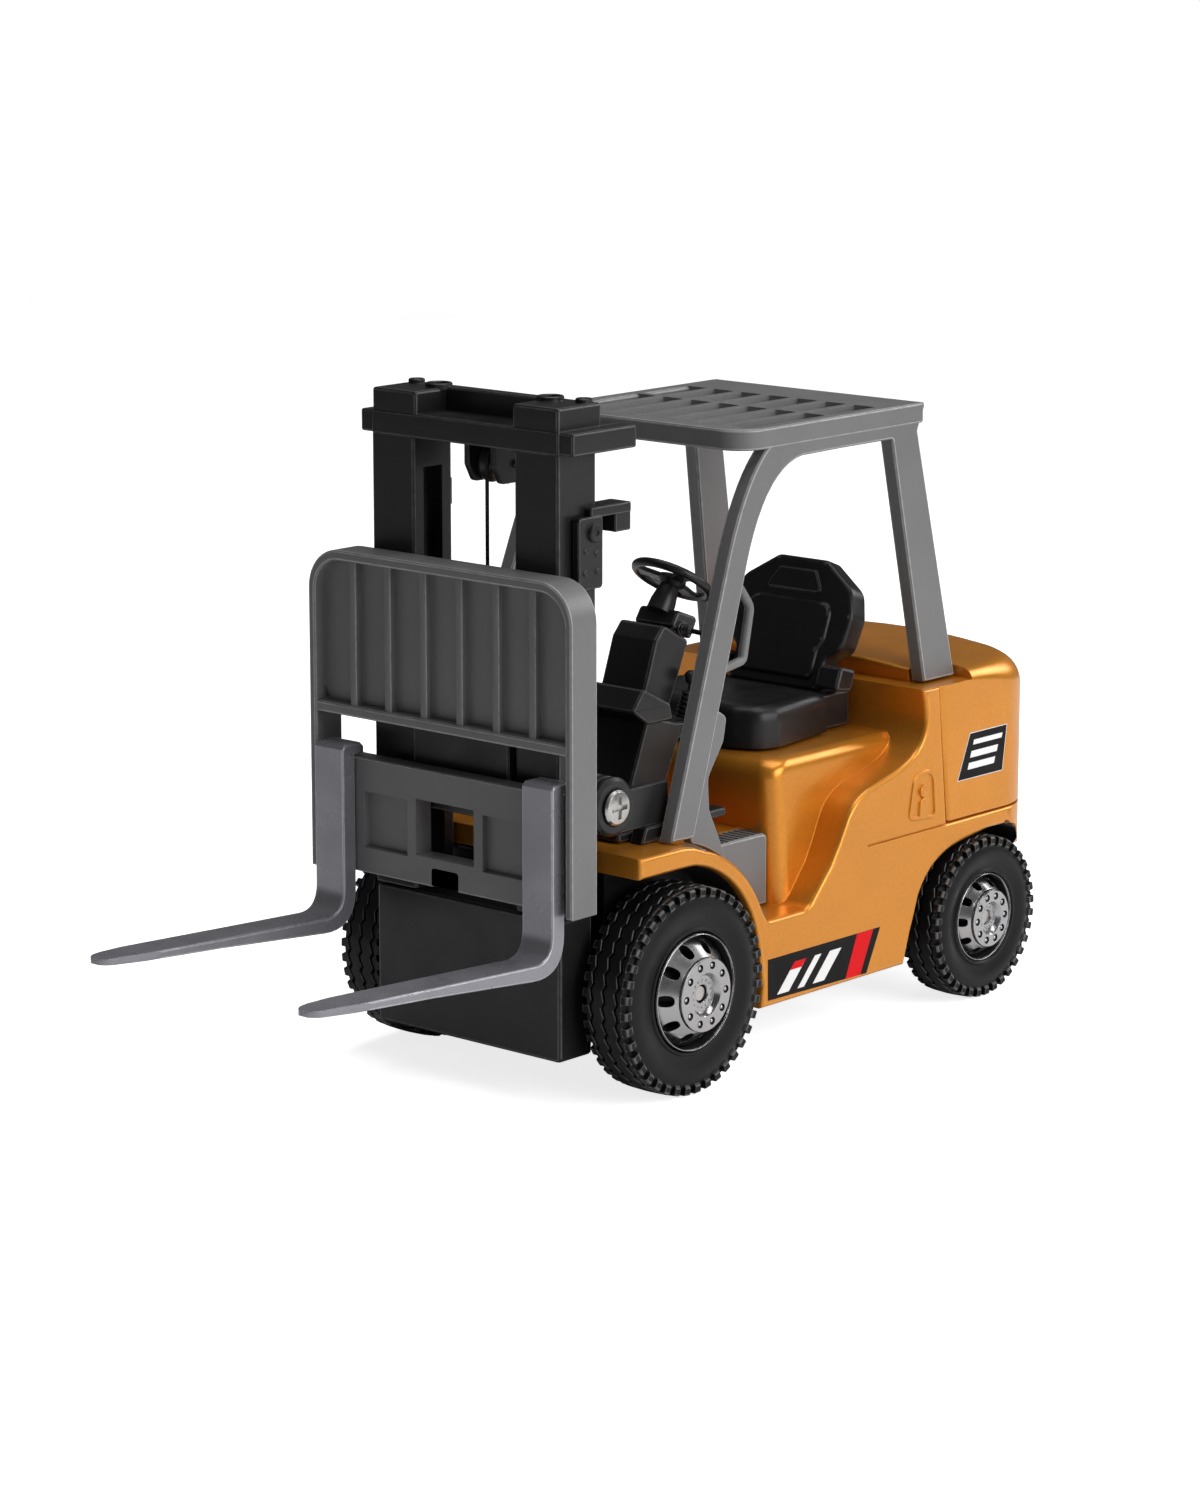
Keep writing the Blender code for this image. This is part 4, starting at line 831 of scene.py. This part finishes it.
def carriage():
    low, high, half = 35.1, 90.6, 30.0
    arch = [(-half, low), (half, low), (half, high, 7.0), (-half, high, 7.0)]
    inner = [(-half + 1.5, low), (-half + 1.5, high - 1.76, 5.5), (half - 1.5, high - 1.76, 5.5),
             (half - 1.5, low)]
    rim_line = fillet(arch[1:] + arch[:1], 12) + fillet(inner, 12)
    parts = [plate(rim_line, -27.74, -21.3, "Y", 0.4)]
    panel = rect(-28.8, 62.6, 28.8, 89.2, 5.4, 8)
    parts.append(plate(panel, -25.25, -23.6, "Y", 0.2))
    parts.append(block((-28.8, 28.8), (-27.5, -23.7), (62.25, 64.1), 0.4, axis="X"))
    for x in (-20.45, -12.35, -4.1, 4.1, 12.35, 20.45):
        parts.append(block((x - 0.7, x + 0.7), (-26.95, -24.5), (63.4, 89.3), 0.45))
    lower = [(-28.8, 35.2), (-2.8, 35.2, 0.2), (-2.8, 38.2, 0.3), (2.8, 38.2, 0.3), (2.8, 35.2, 0.2),
             (28.8, 35.2), (28.8, 55.2, 0.3), (-28.8, 55.2, 0.3)]
    deck = plate(fillet(lower, 3), -26.1, -22.4, "Y", 0.3)
    window = block((-6.65, 6.65), (-30, -15), (40.2, 49.9), 0.0)
    pockets = [block((side * 8.7, side * 18.8), (-30, -24.9), (39.7, 49.4), 0.0) for side in (1, -1)]
    parts.append(cut(deck, window, *pockets))
    piece("load_guard", parts, GREY, "lift", ["carriage"])

    runner = [block((-10.9, 10.9), (-22.1, -17.1), (47.5, 65.0), 0.4)]
    for side in (1, -1):
        runner.append(block((side * 1.4, side * 10.9), (-18.0, -12.4), (51.5, 61.5), 0.3))
        runner.append(block((side * 9.0, side * 13.5), (-18.3, -14.3), (51.6, 61.4), 0.3))
    piece("lift_runner", runner, BLACK, "lift", ["carriage_slider"])


def forks():
    back = -26.4
    side_view = [(-24.2, 55.5), (-24.2, 56.7), (-25.0, 57.5), (-28.7, 57.5), (-29.45, 56.8), (-29.45, 32.5)]
    side_view += bend((-29.45, 32.5), (-29.6, 28.1), (-33.6, 28.2), 8)
    side_view += [(-45.0, 28.75), (-60.0, 29.5), (-80.0, 30.5), (-83.4, 30.45), (-84.0, 30.0), (-83.5, 29.5),
                  (-58.0, 27.7), (-34.2, 25.6)]
    side_view += bend((-34.2, 25.6), (-26.7, 24.9), (back, 32.0), 9)
    side_view += [(back, 55.5)]
    for name, side in SIDES:
        blade = plate(side_view, side * 20.5, side * 27.35, "X", 0.35)
        plan = fillet([(-3.425, 0.0), (3.425, 0.0), (3.425, -72.0, 6.0), (2.2, -82.6, 3.0), (0.0, -84.1, 6.0),
                       (-2.2, -82.6, 3.0), (-3.425, -72.0, 6.0)], 6)
        trim = plate([(side * 23.925 + x, y) for x, y in plan], 10.0, 70.0, "Z", 0.0)
        cut(blade, trim, operation="INTERSECT")
        piece(f"fork_blade_{name}", [blade], FORK, f"{name}_fork", [f"fork_{name}"])


# Overhead guard

def lean(side):
    pivot = Vector((side * ROOF_HALF, 0.0, ROOF_TOP))
    turn = Matrix.Rotation(math.atan(PILLAR_LEAN) * -side, 4, "Y")
    return Matrix.Translation(pivot) @ turn @ Matrix.Translation(-pivot)


def guard():
    parts = []
    wheel = (0.0, AXLE_Z)
    for side in (1, -1):
        outer = [(2.6, 42.7), (0.65, 42.7), (17.1, 87.0)]
        outer += bend((17.1, 87.0), (25.45, ROOF_TOP), (38.2, ROOF_TOP), 14)
        outer += fillet([(50.0, ROOF_TOP), (72.8, ROOF_TOP, 0.5), (72.8, 109.0, 0.3), (70.6, 104.9, 0.8),
                         (79.8, 59.75), (70.9, 59.75), (63.3, 104.1, 0.5), (50.0, 104.1)], 4)
        outer += bend((40.2, 104.1), (28.8, 104.1), (22.6, 87.0), 12)
        outer += [(14.6, 64.6), (6.6, 42.7), (5.0, 42.55)]
        inner_x, outer_x = side * (ROOF_HALF - 3.0), side * ROOF_HALF
        parts.append(moved(plate(outer, inner_x, outer_x, "X", 0.45), lean(side)))
        web = fillet([(13.6, 63.6), (16.7, 61.8, 1.2), (15.6, 57.6, 2.0), (11.3, 52.0, 3.0), (11.4, 46.5, 3.0),
                      (15.68, 36.74)], 5) + arc(wheel, 24.4, 50, 74, 8)[1:] + [(6.0, 43.0)]
        parts.append(moved(plate(web, side * (ROOF_HALF - 2.6), side * (ROOF_HALF - 0.6), "X", 0.25), lean(side)))
    front, rear = 22.4, 72.6
    plan = fillet([(-24.3, front, 5.5), (0.0, front), (24.3, front, 5.5), (24.3, rear, 1.0),
                   (-24.3, rear, 1.0)], 8)
    roof = plate(plan, 106.1, 109.78, "Z", 0.45)
    slots = []
    for centre in (-19.35, -12.9, -6.45, 0.0, 6.45, 12.9, 19.35):
        for start, end in ((26.2, 47.6), (49.0, 61.5)):
            slots.append(plate(rect(centre - 2.45, start, centre + 2.45, end, 0.5, 3), 100.0, 115.0, "Z", 0.0))
    parts.append(cut(roof, *slots))
    piece("roof_guard", parts, GREY, "truck", ["overhead_guard"])
    for name, side in SIDES:
        path = fillet([(15.6, 69.6), (22.2, 70.6, 1.0), (24.6, 79.6, 2.0), (20.6, 85.0)], 6)
        x = side * (ROOF_HALF - 1.5)
        ring = []
        run = [Vector((x, y, z)) for y, z in path]
        for i, p in enumerate(run):
            way = (run[min(i + 1, len(run) - 1)] - run[max(i - 1, 0)]).normalized()
            across = way.cross(Vector((1, 0, 0)))
            ring.append([tuple(p + Vector((1, 0, 0)) * 0.85 * math.cos(a) + across * 0.8 * math.sin(a))
                         for a in (2 * math.pi * k / 12 for k in range(12))])
        piece(f"grab_bar_{name}", [moved(loft(ring), lean(side))], GREY, "truck", [f"grab_handle_{name}"])


# Cab

def cab():
    plan = rect(-20.0, -4.8, 20.0, 23.6, 0.6, 4)
    piece("foot_plate", [plate(plan, 42.6, 44.0, "Z", 0.3)], BLACK, "truck", ["cab_floor"])
    low, back, clear = 25.7, 31.9, 24.1
    top_angle = math.degrees(math.asin((38.4 - AXLE_Z) / clear))
    outline = arc((0.0, AXLE_Z), clear, top_angle, 27, 10)
    outline += [(25.0, low), (back, low)] + [(back, 37.4), (back - 0.3, 38.1), (back - 1.0, 38.4)]
    for name, side in SIDES:
        step = plate(outline, side * 16.3, side * 22.3, "X", 0.5)
        slits = [block((side * 16.8, side * 21.7), (20.2 + 1.4 * i, 20.9 + 1.4 * i), (37.7, 39.5), 0.0)
                 for i in range(8)]
        piece(f"foot_step_{name}", [cut(step, *slits)], GREY, "truck", [f"step_{name}"])

    pedestal = [(10.7, 44.3), (16.8, 59.5, 0.8), (24.3, 57.1, 0.8), (30.4, 57.0, 0.6), (30.4, 55.2, 0.4),
                (25.0, 54.2, 1.0), (20.2, 44.3)]
    ledge = [(12.4, 60.7, 0.4), (15.3, 64.4, 0.6), (22.4, 60.9, 0.5), (23.2, 57.9), (16.5, 57.9)]
    tower = [(18.6, 60.0), (19.0, 63.0, 0.6), (22.0, 71.5, 0.8), (24.3, 74.0, 0.8), (31.0, 70.4, 0.8),
             (25.0, 57.5)]
    parts = [plate(fillet(line, 4), -half, half, "X", r)
             for line, half, r in ((pedestal, 8.0, 0.5), (ledge, 8.2, 0.5), (tower, 5.1, 0.6))]
    piece("dash", parts, BLACK, "truck", ["console"])
    cover = plate(fillet([(27.0, 73.2, 0.6), (28.8, 75.9, 0.8), (34.2, 73.9, 0.8), (32.2, 70.2, 0.6)], 4),
                  -4.5, 4.5, "X", 0.6)
    boot = lathe([(0, 0), (1.3, 0), (1.3, 0.4), (0.9, 0.6), (1.15, 0.9), (0.8, 1.2), (1.0, 1.5), (0.7, 1.8),
                  (0.85, 2.1), (0.5, 2.4), (0, 2.4)], facing(4.4, 29.5, 72.6, (1, 0, 0)), 24)
    stalk = pin(Vector((5.6, 29.6, 72.5)), Vector((10.4, 29.9, 72.2)), 0.45, 0.1)
    piece("column_shroud", [cover, boot, stalk], BLACK, "truck", ["column_cover"])

    centre = Vector((0.0, 32.3, 80.4))
    tilt = math.radians(33.8)
    up = Vector((0.0, math.sin(tilt), math.cos(tilt)))
    column = lathe([(0, 0), (2.4, 0), (2.3, 2.0), (1.7, 5.2), (0, 5.2)], facing(*(centre - up * 6.4), up), 32)
    piece("column", [column], BLACK, "truck", ["steering_column"])
    place = Matrix.Translation(centre) @ Matrix.Rotation(-tilt, 4, "X")
    ring = [(6.85 + 0.8 * math.cos(a), 0.8 * math.sin(a))
            for a in (-2 * math.pi * k / 18 for k in range(18))]
    parts = [lathe(ring, place, 64)]
    parts.append(lathe([(0, -1.3), (1.9, -1.3), (2.6, -0.4), (2.5, 0.25), (1.6, 0.62), (0, 0.75)], place, 28))
    for angle in (90, 210, 330):
        turn = place @ Matrix.Rotation(math.radians(angle), 4, "Z")
        spoke = [(0.3, 1.5), (2.4, 1.25), (5.0, 1.3), (6.9, 2.3)]
        plan = [(u, w) for u, w in spoke] + [(u, -w) for u, w in reversed(spoke)]
        parts.append(moved(plate(plan, -0.5, 0.3, "Z", 0.15), turn))
    piece("wheel_rim", parts, BLACK, "steering", ["steering_wheel"])

    at = Matrix.Translation((7.2, 28.0, 57.4))
    bellows = [(0, 4.9)]
    for i in range(6):
        top, size = 4.8 - 0.8 * i, 0.75 + 0.2 * i
        bellows += [(size, top), (size + 0.35, top - 0.15), (size + 0.35, top - 0.45), (size + 0.05, top - 0.65)]
    bellows.append((0, 0.1))
    piece("bellows", [lathe(bellows, at, 28)], BLACK, "truck", ["lever_boot"])
    base, top = Vector((7.2, 28.0, 57.6)), Vector((7.2, 28.95, 64.4))
    knob = [(0, 1.25)]
    knob += [(1.25 * math.sin(a), 1.25 * math.cos(a)) for a in (math.pi * k / 12 for k in range(1, 12))]
    knob.append((0, -1.25))
    parts = [pin(base, top, 0.4, 0.1, steps=16), lathe(knob, Matrix.Translation(top), 24)]
    piece("lever", parts, BLACK, "lever", ["gear_lever"])


def seat():
    rings = []
    plan = [(-15.3, 57.0), (-17.4, 41.0, 3.0), (-16.2, 37.0, 4.0), (-11.0, 35.0, 6.0), (11.0, 35.0, 6.0),
            (16.2, 37.0, 4.0), (17.4, 41.0, 3.0), (15.3, 57.0)]
    plan = widdershins(fillet(plan, 6))
    for z, inset in ((51.2, 0.5), (51.4, 0.1), (52.0, 0.0), (56.0, 0.0), (57.3, 0.25), (58.1, 0.8), (58.6, 1.7),
                     (58.75, 2.7), (58.5, 3.6)):
        rings.append([(x, y, z) for x, y in shrink(plan, inset)])
    piece("cushion", [loft(rings)], BLACK, "truck", ["seat_cushion"])
    base = block((-13.5, 13.5), (57.5, 65.6), (51.2, 57.6), 0.5)
    piece("seat_base", [base], BLACK, "truck", ["seat_frame"])
    recline = math.atan2(68.0 - 59.6, 79.5 - 58.0)
    place = Matrix.Translation((0.0, 62.6, 58.0)) @ Matrix.Rotation(-recline, 4, "X")
    outline = [(10.4, -1.5, 1.0), (10.4, 5.0, 2.0), (13.6, 7.0, 2.5), (14.2, 13.0, 4.0), (12.6, 18.0, 4.0),
               (5.6, 22.6, 2.0)]
    outline = outline + [(-p[0], *p[1:]) for p in reversed(outline)]
    shell = moved(plate(fillet(outline, 5), -2.4, 2.4, "Y", 0.9), place)
    pad_line = [(8.6, 0.5, 1.0), (8.6, 6.0, 1.5), (9.6, 8.0, 1.5), (9.6, 15.0, 2.5), (-9.6, 15.0, 2.5),
                (-9.6, 8.0, 1.5), (-8.6, 6.0, 1.5), (-8.6, 0.5, 1.0)]
    pad = moved(plate(fillet(pad_line, 5), -3.0, 0.0, "Y", 0.7), place)
    rest_line = [(6.8, 16.2, 0.8), (4.2, 20.4, 0.8), (-4.2, 20.4, 0.8), (-6.8, 16.2, 0.8)]
    rest = moved(plate(fillet(rest_line, 4), -2.9, 0.0, "Y", 0.4), place)
    piece("backrest", [shell, pad, rest], BLACK, "truck", ["seat_back"])
    for name, side in SIDES:
        wing = plate(fillet([(58.2, 58.6, 0.6), (62.6, 57.9, 0.6), (64.0, 61.6, 0.6), (59.8, 62.8, 0.6)], 4),
                     side * 11.0, side * 16.3, "X", 0.6)
        piece(f"hip_rest_{name}", [wing], BLACK, "truck", [f"hip_restraint_{name}"])


# Studio

def floor_material():
    """Plain pale floor that stays white in view and keeps only a faint shadow."""
    material = bpy.data.materials.new("floor")
    material.use_nodes = True
    tree = material.node_tree
    shader = tree.nodes["Principled BSDF"]
    put(shader, {"Base Color": (0.9, 0.9, 0.9, 1.0), "Roughness": 0.9, "Specular IOR Level": 0.1,
                 "Emission Color": (1.0, 1.0, 1.0, 1.0)})
    ray = tree.nodes.new("ShaderNodeLightPath")
    lift = tree.nodes.new("ShaderNodeMath")
    lift.operation = "MULTIPLY"
    lift.inputs[1].default_value = FLOOR_LIFT
    tree.links.new(ray.outputs["Is Camera Ray"], lift.inputs[0])
    tree.links.new(lift.outputs[0], shader.inputs["Emission Strength"])
    return material


def studio():
    top = bpy.data.meshes.new("floor")
    top.from_pydata([(x, y, 0) for x, y in rect(-FLOOR_HALF, -FLOOR_HALF, FLOOR_HALF, FLOOR_HALF)], [],
                    [(0, 1, 2, 3)])
    floor = shown("floor", top)
    floor.location.z = -0.0002
    top.materials.append(floor_material())
    SCENE.world = bpy.data.worlds.new("studio")
    SCENE.world.use_nodes = True
    tree = SCENE.world.node_tree
    sky = tree.nodes["Background"]
    ray = tree.nodes.new("ShaderNodeLightPath")
    level = tree.nodes.new("ShaderNodeMapRange")
    level.inputs["To Min"].default_value = ROOM_LIGHT
    tree.links.new(ray.outputs["Is Camera Ray"], level.inputs["Value"])
    tree.links.new(level.outputs["Result"], sky.inputs["Strength"])
    sky.inputs["Color"].default_value = (1.0, 1.0, 1.0, 1.0)

    for name, spot, target, size, power in LAMPS:
        light = bpy.data.lights.new(name, "AREA")
        light.shape = "RECTANGLE"
        light.size, light.size_y = size
        light.energy = power
        holder = shown(name, light)
        holder.location = spot
        way = Vector(target) - Vector(spot)
        holder.rotation_euler = way.to_track_quat("-Z", "Y").to_euler()

    view = bpy.data.cameras.new("camera")
    view.lens = CAMERA_LENS
    view.sensor_width = 36.0
    holder = shown("camera", view)
    holder.location = CAMERA_AT
    holder.rotation_euler = (math.radians(90 - CAMERA_DOWN), 0.0, math.radians(CAMERA_TURN))
    SCENE.camera = holder
    SCENE.view_settings.view_transform = "Standard"


def coat_frame():
    """Give every CAD node that stays in view a procedural material by its slot."""
    for part in frame["record"]["subparts"]:
        node = frame["nodes"][part["node"]]
        node.data.materials.clear()
        node.data.materials.append(SLOT_COATS[part["material_slot"]])


coat_frame()
wheels()
body_shell()
hood()
decals()
mast()
carriage()
forks()
guard()
cab()
seat()
studio()
